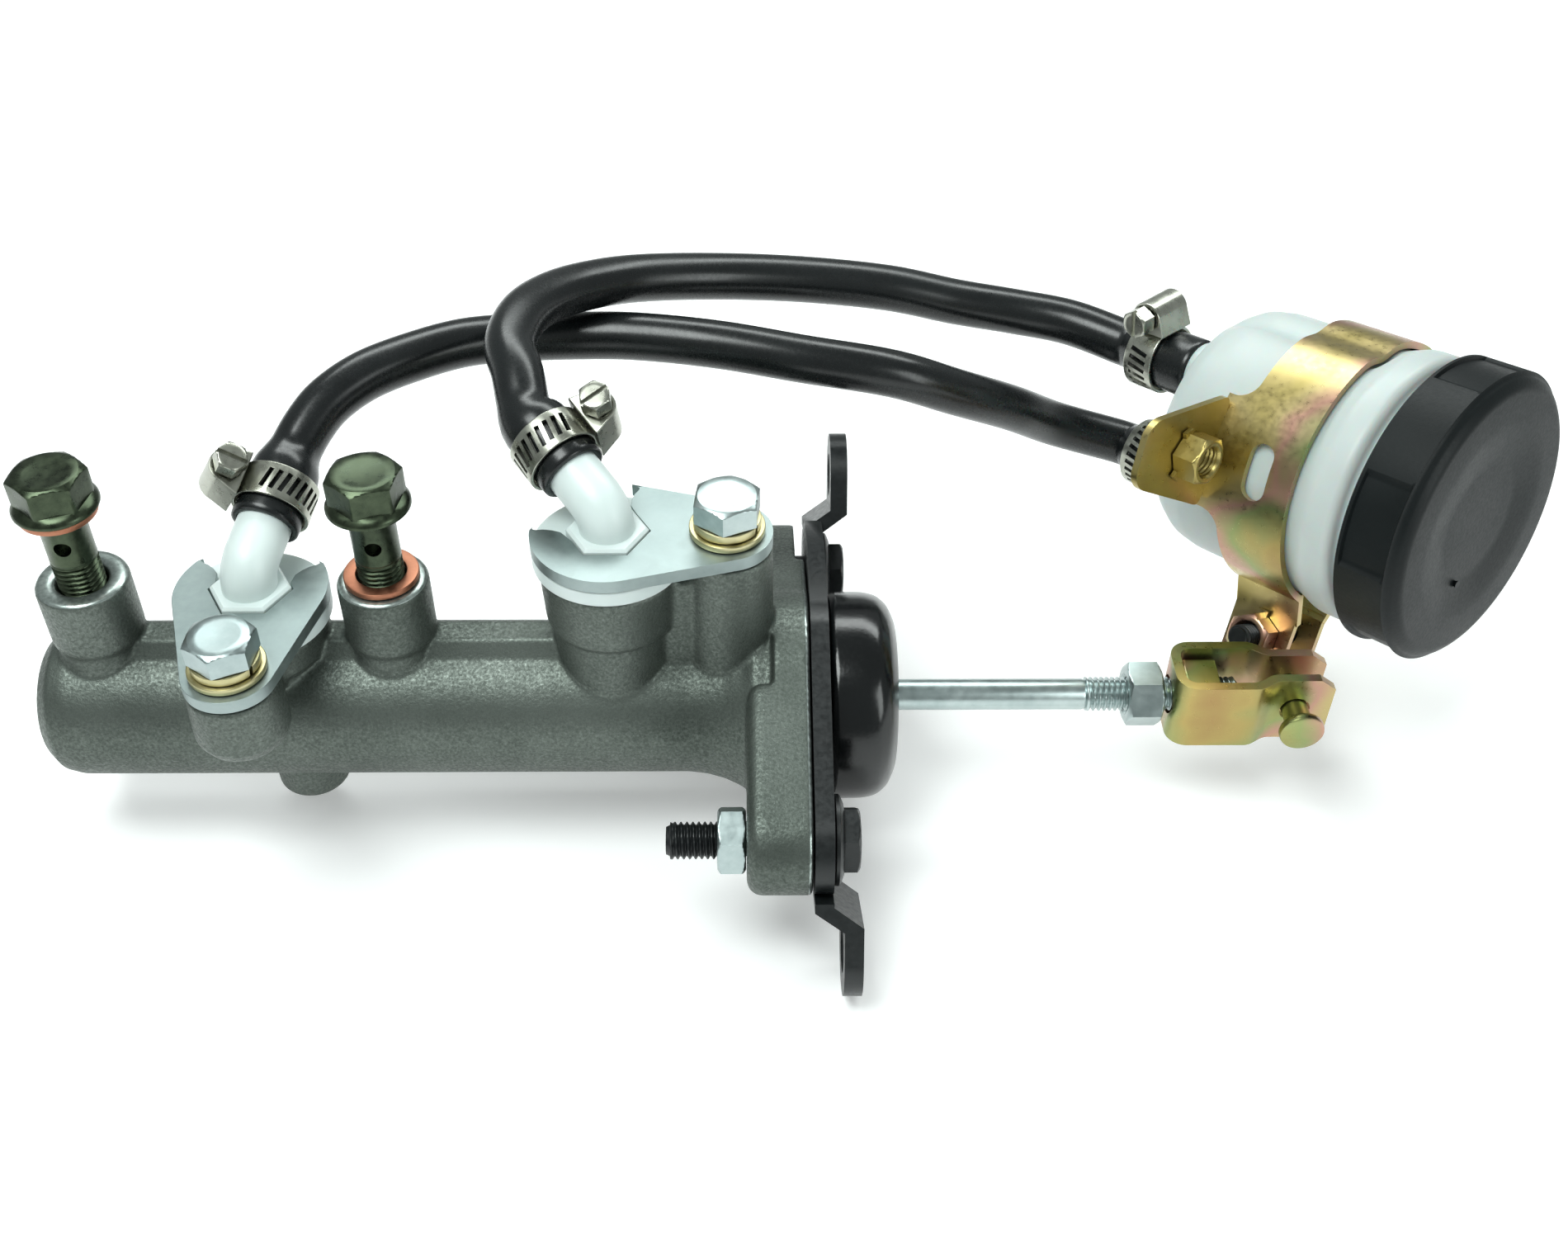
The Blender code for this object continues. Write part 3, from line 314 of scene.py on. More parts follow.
def hex_nut(name, flats, high, low, hole, finish, origin, direction, up=Z_AXIS):
    rows = hex_rows(flats, high, low, both=True)[2:]
    rows = ring_rows((hole + 0.7, high)) + rows + ring_rows((hole + 0.7, low), (hole, low + 0.7),
                                                            (hole, high - 0.7))
    return from_rows(name, rows, finish, origin, direction, up, closed=True)


def tube(name, path, radii, finish, inner_start=None, inner_end=None, segments=40):
    """Round hose along a path; an inner radius at an end leaves its mouth open 8 mm deep."""
    path = np.asarray(path, float)
    tangents = np.gradient(path, axis=0)
    tangents /= np.linalg.norm(tangents, axis=1)[:, None]
    normal = unit(np.cross(tangents[0], (0.3, 0.2, 0.9)))
    stations = []
    for point, tangent, radius in zip(path, tangents, radii):
        normal = unit(normal - np.dot(normal, tangent) * tangent)
        stations.append((point, normal, np.cross(tangent, normal), tangent, radius))

    def mouth(station, inner, sign):
        point, n, b, t, r = station
        steps = [(0.35, r - 0.1), (0.08, r - 0.45), (0.0, r - 0.9), (0.0, inner + 0.2),
                 (0.3, inner), (8.0, inner), (8.0, 0.2)]
        return [(point + t * sign * s, n, b, t, q) for s, q in steps]

    chain = stations
    if inner_start is not None:
        chain = mouth(stations[0], inner_start, 1)[::-1] + chain[1:]
    if inner_end is not None:
        chain = chain[:-1] + mouth(stations[-1], inner_end, -1)
    angle = np.arange(segments) * TAU / segments
    points = []
    for point, n, b, t, r in chain:
        points.extend(point + r * (np.cos(a) * n + np.sin(a) * b) for a in angle)
    faces = []
    for i in range(len(chain) - 1):
        for j in range(segments):
            l = (j + 1) % segments
            faces.append((i * segments + j, i * segments + l, (i + 1) * segments + l,
                          (i + 1) * segments + j))
    faces.append(tuple(range(segments))[::-1])
    faces.append(tuple(range((len(chain) - 1) * segments, len(chain) * segments)))
    return to_mesh(name, points, faces, finish, 50.0)


def smooth_curve(points, spacing=1.5):
    """Catmull-Rom curve through the points, resampled at about one spacing."""
    path = [np.asarray(p, float) for p in points]
    path = [2 * path[0] - path[1]] + path + [2 * path[-1] - path[-2]]
    samples = []
    for i in range(1, len(path) - 2):
        a, b, c, d = path[i - 1:i + 3]
        count = max(2, int(round(np.linalg.norm(c - b) / spacing)))
        for k in range(count):
            t = k / count
            samples.append(0.5 * ((2 * b) + (c - a) * t + (2 * a - 5 * b + 4 * c - d) * t * t
                                  + (3 * b - a - 3 * c + d) * t ** 3))
    samples.append(path[-2])
    return np.array(samples)


# --- materials ---
class Nodes:
    """A small builder for one material's nodes."""

    def __init__(self, name):
        self.material = bpy.data.materials.new(name)
        self.material.use_nodes = True
        self.tree = self.material.node_tree
        self.shader = self.tree.nodes["Principled BSDF"]
        self.coords = self.tree.nodes.new("ShaderNodeTexCoord").outputs["Object"]

    def put(self, socket, value):
        if isinstance(value, bpy.types.NodeSocket):
            self.tree.links.new(value, socket)
        else:
            socket.default_value = value

    def set(self, **inputs):
        for key, value in inputs.items():
            self.put(self.shader.inputs[key.replace("_", " ")], value)
        return self

    def noise(self, scale, detail=4.0, roughness=0.55):
        node = self.tree.nodes.new("ShaderNodeTexNoise")
        for key, value in (("Vector", self.coords), ("Scale", scale), ("Detail", detail),
                           ("Roughness", roughness)):
            self.put(node.inputs[key], value)
        return node.outputs["Fac"]

    def new(self, kind, *values, output=0, **settings):
        """A node with its first inputs set; gives one of its outputs."""
        node = self.tree.nodes.new("ShaderNode" + kind)
        for key, value in settings.items():
            setattr(node, key, value)
        for socket, value in zip(node.inputs, values):
            self.put(socket, value)
        return node.outputs[output]

    def math(self, operation, *values):
        return self.new("Math", *values, operation=operation)

    def remap(self, value, low, high, out_low, out_high):
        return self.new("MapRange", value, low, high, out_low, out_high)

    def mix(self, factor, a, b):
        node = self.tree.nodes.new("ShaderNodeMix")
        node.data_type = "RGBA"
        self.put(node.inputs[0], factor)
        self.put(node.inputs[6], a)
        self.put(node.inputs[7], b)
        return node.outputs[2]

    def ramp(self, factor, stops):
        node = self.tree.nodes.new("ShaderNodeValToRGB")
        self.put(node.inputs[0], factor)
        points = node.color_ramp.elements
        points[0].position, points[0].color = stops[0]
        points[1].position, points[1].color = stops[-1]
        for position, colour in stops[1:-1]:
            points.new(position).color = colour
        return node.outputs[0]

    def bump(self, height, strength, distance):
        node = self.tree.nodes.new("ShaderNodeBump")
        node.inputs["Strength"].default_value = strength
        node.inputs["Distance"].default_value = distance
        self.put(node.inputs["Height"], height)
        return node.outputs[0]

    def axis(self, index):
        return self.new("SeparateXYZ", self.coords, output=index)


def srgb(red, green, blue):
    """Linear colour from 0 to 255 display values."""
    linear = []
    for value in (red, green, blue):
        v = value / 255
        linear.append(v / 12.92 if v <= 0.04045 else ((v + 0.055) / 1.055) ** 2.4)
    return (*linear, 1.0)


def cast_material():
    n = Nodes("cast_aluminium")
    grain = n.noise(1500.0, 3.0, 0.7)
    coarse = n.noise(260.0, 3.0)
    patches = n.noise(35.0, 3.0)
    base = n.ramp(grain, [(0.34, srgb(52, 58, 55)), (0.52, srgb(92, 99, 94)),
                          (0.70, srgb(128, 136, 130))])
    tint = n.ramp(patches, [(0.3, srgb(82, 89, 83)), (0.7, srgb(110, 117, 111))])
    cast = n.mix(0.68, base, tint)
    # machined tops of the ports and of the mounting face
    along = n.axis(0)
    port_height = n.math("COMPARE", n.axis(2), PORT_TOP * MM, 0.55 * MM)
    port_face = n.math("MULTIPLY", port_height, n.math("LESS_THAN", along, -90.0 * MM))
    mount_face = n.math("GREATER_THAN", along, -11.4 * MM)
    machined = n.math("MAXIMUM", port_face, mount_face)
    sheen = n.remap(n.noise(900.0, 2.0), 0.3, 0.7, 0.0, 1.0)
    bright = n.mix(sheen, srgb(132, 142, 138), srgb(172, 182, 178))
    n.set(Base_Color=n.mix(machined, cast, bright), Metallic=0.85)
    rough = n.remap(grain, 0.35, 0.7, 0.62, 0.34)
    cast_part = n.math("MULTIPLY", rough, n.math("SUBTRACT", 1.0, machined))
    n.set(Roughness=n.math("MULTIPLY_ADD", machined, 0.28, cast_part))
    height_map = n.math("ADD", n.math("MULTIPLY", grain, 0.5), n.math("MULTIPLY", coarse, 0.6))
    n.set(Normal=n.bump(n.math("MULTIPLY", height_map, n.math("SUBTRACT", 1.0, machined)), 0.75,
                        0.00028))
    return n.material


def metal_material(name, dark, light, rough_low, rough_high, scale=400.0, metallic=1.0, bump=0.12,
                   patches=30.0):
    n = Nodes(name)
    fine = n.noise(scale, 4.0)
    broad = n.noise(patches, 3.0)
    mixed = n.math("ADD", n.math("MULTIPLY", fine, 0.4), n.math("MULTIPLY", broad, 0.6))
    n.set(Base_Color=n.ramp(mixed, [(0.35, dark), (0.65, light)]), Metallic=metallic)
    n.set(Roughness=n.remap(fine, 0.3, 0.7, rough_low, rough_high))
    n.set(Normal=n.bump(fine, bump, 0.00006))
    return n.material


def yellow_zinc_material():
    """Gold chromate: olive-gold with pink and green drifts."""
    n = Nodes("yellow_zinc")
    warp = n.noise(18.0, 2.0)
    drift = n.noise(42.0, 2.5)
    hue = n.ramp(n.math("ADD", n.math("MULTIPLY", warp, 0.6), n.math("MULTIPLY", drift, 0.4)), [
        (0.34, srgb(158, 142, 84)), (0.42, srgb(176, 160, 100)), (0.48, srgb(190, 172, 122)),
        (0.53, srgb(188, 146, 128)), (0.59, srgb(148, 158, 104)), (0.66, srgb(176, 156, 98)),
        (0.74, srgb(164, 130, 88))])
    fine = n.noise(700.0, 4.0)
    n.set(Base_Color=hue, Metallic=1.0, Roughness=n.remap(fine, 0.3, 0.7, 0.26, 0.38))
    n.set(Normal=n.bump(fine, 0.05, 0.00004))
    return n.material


def rubber_material(name, colour, light, rough_low, rough_high, fleck=0.0, gloss=0.5):
    n = Nodes(name)
    fine = n.noise(1300.0, 3.0)
    broad = n.noise(45.0, 3.0)
    n.set(Base_Color=n.mix(n.remap(broad, 0.3, 0.7, 0.0, 1.0), colour, light))
    n.set(Roughness=n.remap(n.math("ADD", n.math("MULTIPLY", fine, 0.5),
                                   n.math("MULTIPLY", broad, 0.5)),
                            0.35, 0.65, rough_low, rough_high))
    n.set(Specular_IOR_Level=gloss, Normal=n.bump(fine, 0.16 + fleck, 0.00012))
    return n.material


def nylon_material():
    n = Nodes("white_nylon")
    broad = n.noise(28.0, 3.0)
    fine = n.noise(900.0, 3.0)
    drift = n.remap(broad, 0.3, 0.7, 0.0, 1.0)
    n.set(Base_Color=n.mix(drift, srgb(203, 216, 214), srgb(218, 228, 226)))
    n.set(Roughness=n.remap(fine, 0.3, 0.7, 0.3, 0.42), Normal=n.bump(fine, 0.06, 0.0001))
    n.set(Subsurface_Weight=0.35, Subsurface_Scale=0.004)
    n.shader.inputs["Subsurface Radius"].default_value = (1.0, 1.0, 0.9)
    return n.material


def frosted_material():
    """Milky bottle wall that lets a little light through."""
    n = Nodes("frosted_nylon")
    broad = n.noise(22.0, 3.0)
    fine = n.noise(1100.0, 3.0)
    drift = n.remap(broad, 0.3, 0.7, 0.0, 1.0)
    n.set(Base_Color=n.mix(drift, srgb(182, 192, 190), srgb(198, 207, 205)))
    n.set(Roughness=n.remap(fine, 0.3, 0.7, 0.36, 0.48), Normal=n.bump(fine, 0.10, 0.0001))
    n.set(Subsurface_Weight=0.5, Subsurface_Scale=0.006)
    return n.material


CAST = cast_material()
ZINC = metal_material("bright_zinc", srgb(152, 166, 166), srgb(186, 198, 197), 0.28, 0.38,
                      bump=0.05)
PLATE = metal_material("zinc_plate", srgb(140, 153, 152), srgb(164, 176, 175), 0.4, 0.5, bump=0.05)
OLIVE = metal_material("olive_zinc", srgb(48, 56, 45), srgb(84, 94, 75), 0.24, 0.38, 500.0,
                       bump=0.05)
COPPER = metal_material("copper", srgb(150, 98, 76), srgb(186, 130, 104), 0.36, 0.5, 600.0,
                        bump=0.05)
STAINLESS = metal_material("stainless_steel", srgb(158, 159, 148), srgb(192, 193, 182), 0.24, 0.34,
                           bump=0.04)
PALE_ZINC = metal_material("pale_zinc", srgb(176, 168, 122), srgb(206, 198, 158), 0.28, 0.4,
                           bump=0.05)
STEEL = metal_material("spring_steel", srgb(120, 124, 128), srgb(160, 164, 168), 0.25, 0.4)
YELLOW = yellow_zinc_material()
BLACK_PAINT = metal_material("black_steel", srgb(13, 16, 17), srgb(25, 29, 30), 0.3, 0.46, 900.0,
                             0.1, 0.2, 60.0)
HOSE = rubber_material("hose_rubber", srgb(9, 12, 13), srgb(17, 21, 22), 0.22, 0.32, -0.12)
BOOT = rubber_material("boot_rubber", srgb(5, 7, 8), srgb(11, 14, 15), 0.14, 0.24)
CAP = rubber_material("black_plastic", srgb(9, 14, 15), srgb(16, 22, 23), 0.4, 0.52, 0.1, 0.22)
NYLON = nylon_material()
FROSTED = frosted_material()
# Painted shade: near-black colour that stands for the shade inside the drilled holes and the cap's
# vent
HOLE_SHADE = rubber_material("painted_hole_shade", srgb(12, 13, 14), srgb(18, 19, 20), 0.5, 0.7)


# --- dimensions shared with the CAD ---
BANJO = {"front_outlet": -165.1, "rear_outlet": -101.6}
BANJO_SEAT = 55.2
ELBOWS = {
    "secondary": {"x": -130.1, "rim": 25.2, "step": 16.2, "bottom": 13.0, "bolt": (0.03, -1.0),
                  "arm": (0.21, 0.92, 0.33), "mouth": (0.03, 1.0)},
    "primary": {"x": -53.1, "rim": 41.1, "step": 25.6, "bottom": 6.0, "bolt": (1.0, 0.0),
                "arm": (-0.60, 0.73, 0.32), "mouth": (-0.54, 0.84)},
}
ARM_START, ARM_LENGTH = 12.3, 11.3
DISC_R, PIPE_R, HEX_R = 16.2, 5.85, 8.7
PLATE_R, LOBE_R, NOTCH_R = 16.3, 9.6, 9.1
MOUTH_HALF = 57.0              # degrees between the opening's middle and each arm's tip
HOSE_R, HOSE_END_R = 5.65, 7.4
OVERLAP = 5.4                  # how far each hose reaches over its nipple, up to the bottle
CLAMP_BACK = 7.4               # from a hose's end to the middle of its clamp
CLAMP_IN_R, CLAMP_OUT_R, CLAMP_HALF, SLOT_COUNT = 7.7, 8.5, 4.0, 26
PITCH = 25.0
FLANGE_BOLT_Y = 43.0
FLANGE_END_R = 11.5
BORE_R = 9.5
SHEET_LOW, SHEET_HIGH = -10.2, -6.2
EAR_HOLE = np.array((0.0, 55.5, 20.5))
EAR_R = 10.0
M8_R, M8_HOLE_R = 3.95, 4.3
THREAD_PITCH = 1.25
PIN_X = 100.4
CAP_FACE = np.array((137.8, 12.7, 39.9))
AXIS = unit((0.638, -0.755, 0.153))
RES = basis(AXIS)
NIPPLES = {"primary": (-6.0, 15.5), "secondary": (-6.0, -13.0)}
BASE_Z = -72.0
BOTTLE_R = 30.2
BAND_LOW, BAND_HIGH, BAND_R = -46.8, -29.4, 30.8
BRACKET_SHEET = 1.6
LEG_ANGLE, LEG_OPEN = 245.0, 17.0
FOOT_OFFSET, FOOT_BEND_R, FOOT_END_R, FOOT_SCREW_R = 6.4, 36.0, 52.0, 43.0
TAB_ANGLE, TAB_LOW, TAB_HOLE_R = 158.0, -52.6, 42.2
DENT_ANGLE = 88.0
ROUTES = {
    "primary": [(-73.0, 30.5, 66.5), (-75.5, 40.0, 67.8), (-74.0, 51.0, 68.0), (-69.5, 61.0, 66.5),
                (-62.0, 70.5, 64.0), (-50.0, 80.0, 60.5), (-31.0, 88.5, 56.0), (-10.0, 93.0, 52.5),
                (11.5, 94.0, 49.5), (28.5, 95.0, 45.0), (43.5, 94.5, 42.5), (57.5, 91.0, 41.5)],
    "secondary": [(-121.0, 34.0, 50.5), (-117.0, 40.5, 53.0), (-110.0, 48.0, 54.5),
                  (-100.5, 55.5, 54.5), (-90.0, 62.0, 54.0), (-79.0, 66.5, 52.5),
                  (-65.0, 69.0, 51.5), (-50.0, 68.0, 52.0), (-30.5, 64.5, 52.0),
                  (-10.5, 61.5, 50.0), (10.5, 61.5, 46.0), (26.5, 65.5, 38.0), (42.0, 73.0, 28.0),
                  (55.5, 80.0, 18.0)],
}


def in_reservoir(x, y, z):
    return CAP_FACE + RES @ np.array((x, y, z))


def centre_and_bolt(elbow):
    """The socket's place on the bore's axis, and the direction of its bolt."""
    return elbow["x"] * X_AXIS, unit((*elbow["bolt"], 0.0))


# --- casting ---
def casting():
    """Solid of turned bosses and outlines, then remeshed so that every joint has a fillet."""
    barrel = lathe("cylinder_casting", [
        (0, -11.0), (22.5, -11.0), (22.5, -22.6), (20.6, -25.4), (18.9, -29.0), (17.8, -33.0),
        (17.3, -37.0), (17.3, -172.5), (16.4, -176.2), (13.6, -179.0), (10.0, -180.0),
        (0, -180.0)], direction=X_AXIS, segments=96)
    adds = [lathe("spigot", [(0, -1.0), (13.9, -1.0), (14.5, -1.6), (14.5, -15.0), (0, -15.0)],
                  direction=X_AXIS)]
    rim = arc((FLANGE_BOLT_Y, 0), FLANGE_END_R, -72, 72, 18) + arc((0, 0), 24.5, 60, 120, 10)
    rim += arc((-FLANGE_BOLT_Y, 0), FLANGE_END_R, 108, 252, 18) + arc((0, 0), 24.5, 240, 300, 10)
    adds.append(extruded("rim", rim, -18.5, -10.5, direction=X_AXIS))
    lobe = arc((-FLANGE_BOLT_Y, 0), FLANGE_END_R, 108, 252, 18) + [(-15.0, -20.4), (-15.0, 20.4)]
    adds.append(bevel(extruded("lobe", lobe, -24.2, -11.3, direction=X_AXIS), 3.2, 5, 30.0))
    adds.append(extruded("rib", [(-6.2, 12.0), (6.2, 12.0), (6.2, 15.5), (3.1, 20.4), (-3.1, 20.4),
                                 (-6.2, 15.5)], -172.0, -50.0, direction=X_AXIS))
    adds.append(lathe("lower", [(0, -10), (8.4, -10), (8.2, -24.6), (7.4, -25.5), (0, -25.5)],
                      origin=(-126.0, 0, 0)))
    for x in BANJO.values():
        adds.append(lathe("port", [
            (0, PORT_TOP), (9.1, PORT_TOP), (9.75, PORT_TOP - 0.7), (9.75, 21.2), (9.0, 19.6),
            (9.2, 8.0), (0, 8.0)], origin=(x, 0, 0)))
    for elbow in ELBOWS.values():
        adds += elbow_bosses(elbow)
    unite(barrel, adds)
    cuts = [lathe("bore", [(0, 5.0), (BORE_R, 5.0), (BORE_R, -172.4), (0, -173.0)],
                  direction=X_AXIS)]
    for x in BANJO.values():
        cuts.append(lathe("hole", [(0, 38.0), (8.2, 38.0), (5.3, PORT_TOP - 0.9), (5.3, 19.0),
                                   (1.6, 18.0), (1.6, 4.0), (0, 4.0)],
                          origin=(x, 0, 0), segments=48))
    for elbow in ELBOWS.values():
        centre, bolt = centre_and_bolt(elbow)
        rim_z = elbow["rim"]
        cuts.append(lathe("socket", [
            (0, rim_z + 9), (16.5, rim_z + 9), (16.5, rim_z), (11.0, rim_z), (11.0, rim_z - 9.0),
            (1.6, rim_z - 10.0), (1.6, 4.0), (0, 4.0)], origin=centre, segments=48))
        cuts.append(cylinder("bolt_hole", M8_HOLE_R, rim_z + 12, rim_z - 7.8, segments=32,
                             origin=centre + bolt * PITCH))
    for side in (-1, 1):
        cuts.append(cylinder("flange_hole", 4.5, 0, -40,
                             origin=(0, side * FLANGE_BOLT_Y, 0), direction=X_AXIS, segments=32))
    cuts.append(block("recess", (2.3, 40.0, 60.0), origin=(-11.5, 49.0, 0)))
    cut(barrel, cuts)
    remesh = barrel.modifiers.new("remesh", "REMESH")
    remesh.mode, remesh.voxel_size, remesh.use_smooth_shade = "VOXEL", 0.55 * MM, True
    smooth = barrel.modifiers.new("smooth", "SMOOTH")
    smooth.factor, smooth.iterations = 0.5, 5
    apply_modifiers(barrel)
    barrel.data.shade_smooth()
    keep(barrel, "cylinder_body", CAST)


def elbow_bosses(elbow):
    """Socket for an elbow, the boss for its clamp bolt and the web between them."""
    centre, bolt = centre_and_bolt(elbow)
    rim, step, bottom = elbow["rim"], elbow["step"], elbow["bottom"]
    seat = rim + 3.7
    pieces = [lathe("socket_boss", [
        (0, rim), (14.2, rim), (15.0, rim - 1.0), (14.3, step + 1.2), (13.0, step), (12.6, 4.0),
        (0, 4.0)], origin=centre)]
    pieces.append(lathe("bolt_boss", [
        (0, seat), (9.4, seat), (9.6, seat - 0.5), (10.0, bottom + 4.0), (8.4, bottom + 1.0),
        (5.0, bottom), (0, bottom)], origin=centre + bolt * PITCH))
    low, high = bottom + 1.5, rim - 1.8
    middle = centre + bolt * 0.5 * PITCH + Z_AXIS * 0.5 * (low + high)
    pieces.append(block("web", (PITCH - 1.0, 13.0, high - low), origin=middle,
                        up=(-bolt[1], bolt[0], 0.0)))
    return pieces


# --- mounting plate and flange bolts ---
def mounting_plate():
    middle = arc((FLANGE_BOLT_Y, 0), 11.8, -80, 20, 14) + [(42.0, 17.0), (25.0, 24.0)]
    middle += arc((0, 0), 25.0, 78, 98, 4)
    middle += [(-y, -z) for y, z in middle]
    plate = extruded("mounting_bracket", middle, SHEET_LOW, SHEET_HIGH, direction=X_AXIS)
    outward = np.array((0.0, 0.5, 0.866))
    adds = []
    for side in (1, -1):
        hole = side * EAR_HOLE
        tongue = arc((0, 0), EAR_R, 0, 180, 24) + [(-EAR_R, -6.6), (EAR_R, -6.6)]
        adds.append(extruded("tongue", tongue, -4.0, 0.0, origin=hole, direction=X_AXIS,
                             up=outward * side))
        strip = [(SHEET_LOW, -13.8), (SHEET_HIGH, -13.8), (SHEET_HIGH, -13.0), (0.0, -8.4),
                 (0.0, -5.2), (-4.0, -5.2), (-4.0, -7.4), (SHEET_LOW, -11.8)]
        adds.append(extruded("strip", strip, -EAR_R, EAR_R, origin=hole,
                             direction=np.cross(X_AXIS, outward * side), up=outward * side))
    unite(plate, adds)
    cuts = [cylinder("plate_bore", 14.8, 5, -25, direction=X_AXIS)]
    for side in (-1, 1):
        cuts.append(cylinder("bolt_hole", 4.5, 5, -25, segments=40,
                             origin=(0, side * FLANGE_BOLT_Y, 0), direction=X_AXIS))
        cuts.append(cylinder("ear_hole", 5.2, 5, -25, segments=48,
                             origin=side * EAR_HOLE, direction=X_AXIS))
    cut(plate, cuts)
    bevel(plate, 0.45, 3, 30.0)
    keep(plate, "mounting_plate", BLACK_PAINT)


def flange_bolts():
    for name, side in (("front", -1), ("rear", 1)):
        face = -5.9
        rows = hex_rows(13.0, face + 5.4, face + 2.0, crown=0.35)
        rows += ring_rows((7.7, face + 1.9), (9.2, face + 1.3), (9.6, face + 0.9),
                          (9.6, face + 0.2), (9.4, face), (M8_R, face), (M8_R, -14.0))
        rows += thread_rows(M8_R, -14.5, -40.2, THREAD_PITCH) + ring_rows((2.9, -41.0))
        head = from_rows("flange_bolt_" + name + "_fine", rows, BLACK_PAINT,
                         (0, side * FLANGE_BOLT_Y, 0), X_AXIS, (0, 0.26, 0.97))
        keep(head, "flange_bolt_" + name)
        high = -24.3 if side < 0 else -18.8
        nut = hex_nut("flange_nut_" + name + "_fine", 13.0, high, high - 6.0, 4.1, ZINC,
                      (0, side * FLANGE_BOLT_Y, 0), X_AXIS, (0, 0.2, 0.98))
        keep(nut, "flange_nut_" + name)


# --- banjo bolts ---
def banjo_bolts():
    for name, x in BANJO.items():
        head = BANJO_SEAT
        rows = hex_rows(14.0, head + 8.6, head + 2.2, crown=0.0)
        rows[:2] = ring_rows((0.3, head + 8.25), (4.4, head + 8.3))
        rows += ring_rows((7.9, head + 1.9), (8.5, head + 1.3), (8.8, head + 0.8),
                          (8.8, head + 0.25), (8.5, head), (5.3, head),
                          (4.85, head - 0.6), (4.85, head - 12.4))
        rows += (thread_rows(4.9, head - 12.8, head - 26.3, THREAD_PITCH)
                 + ring_rows((3.9, head - 27.0)))
        bolt = from_rows("banjo_" + name, rows, OLIVE, (x, 0, 0), up=(0.17, 0.98, 0))
        # the cross drilling's cutter carries the painted hole shade
        drill = cylinder("cross", 1.75, 12, -12, HOLE_SHADE, segments=32,
                         origin=(x, 0, head - 8.0), direction=(0.10, -0.99, 0.0))
        cut(bolt, [drill])
        shade(bolt, 38.0)
        keep(bolt, "banjo_bolt_" + name)
        low = head - 1.8 if name == "front_outlet" else PORT_TOP + 0.3
        washer = lathe("copper_" + name, [(8.0, 1.5), (8.0, 0.0), (5.3, 0.0), (5.3, 1.5)], COPPER,
                       origin=(x, 0, low), closed=True, rounding=0.4)
        keep(washer, "copper_washer_" + name)


# --- inlet elbows ---
def elbow_parts(name, elbow):
    centre, bolt = centre_and_bolt(elbow)
    rim, arm = elbow["rim"], unit(elbow["arm"])
    disc_top = rim + 4.0
    plate_low, plate_high = rim + 4.3, rim + 7.3
    fitting = lathe("nylon_" + name, [
        (0, disc_top), (DISC_R, disc_top), (DISC_R, rim + 0.3), (9.0, rim + 0.3), (9.0, rim - 6.0),
        (0, rim - 6.0)], origin=centre, rounding=0.6)
    flat = 2 * HEX_R * math.cos(TAU / 12)
    hexagon = from_rows("hex", [(h, hex_radius(flat) * k) for h, k in (
        (plate_high + 0.9, 0.93), (plate_high + 0.3, 1.0), (disc_top - 0.5, 1.0))], None,
                        centre, Z_AXIS, X_AXIS)
    bend = smooth_bend(centre + Z_AXIS * disc_top, centre + Z_AXIS * (rim + ARM_START), arm)
    pipe = tube("arm", bend, [PIPE_R] * len(bend), None, segments=56)
    unite(fitting, [hexagon, pipe])
    bevel(fitting, 0.5, 3, 40.0)
    keep(fitting, "inlet_elbow_" + name, NYLON)
    plate_and_bolt(name, centre, bolt, elbow["mouth"], plate_low, plate_high)


def smooth_bend(foot, corner, arm):
    """Path of the elbow's pipe: up, round the corner, then along the arm into the hose."""
    path = [foot - Z_AXIS * 0.5]
    reach = 5.0
    a, b = corner - Z_AXIS * reach, corner + arm * reach
    path += [(1 - t) ** 2 * a + 2 * t * (1 - t) * corner + t * t * b for t in np.linspace(0, 1, 12)]
    path.append(corner + arm * (ARM_LENGTH - 1.0))
    path.append(corner + arm * (ARM_LENGTH + 6.0))
    return np.array(path)


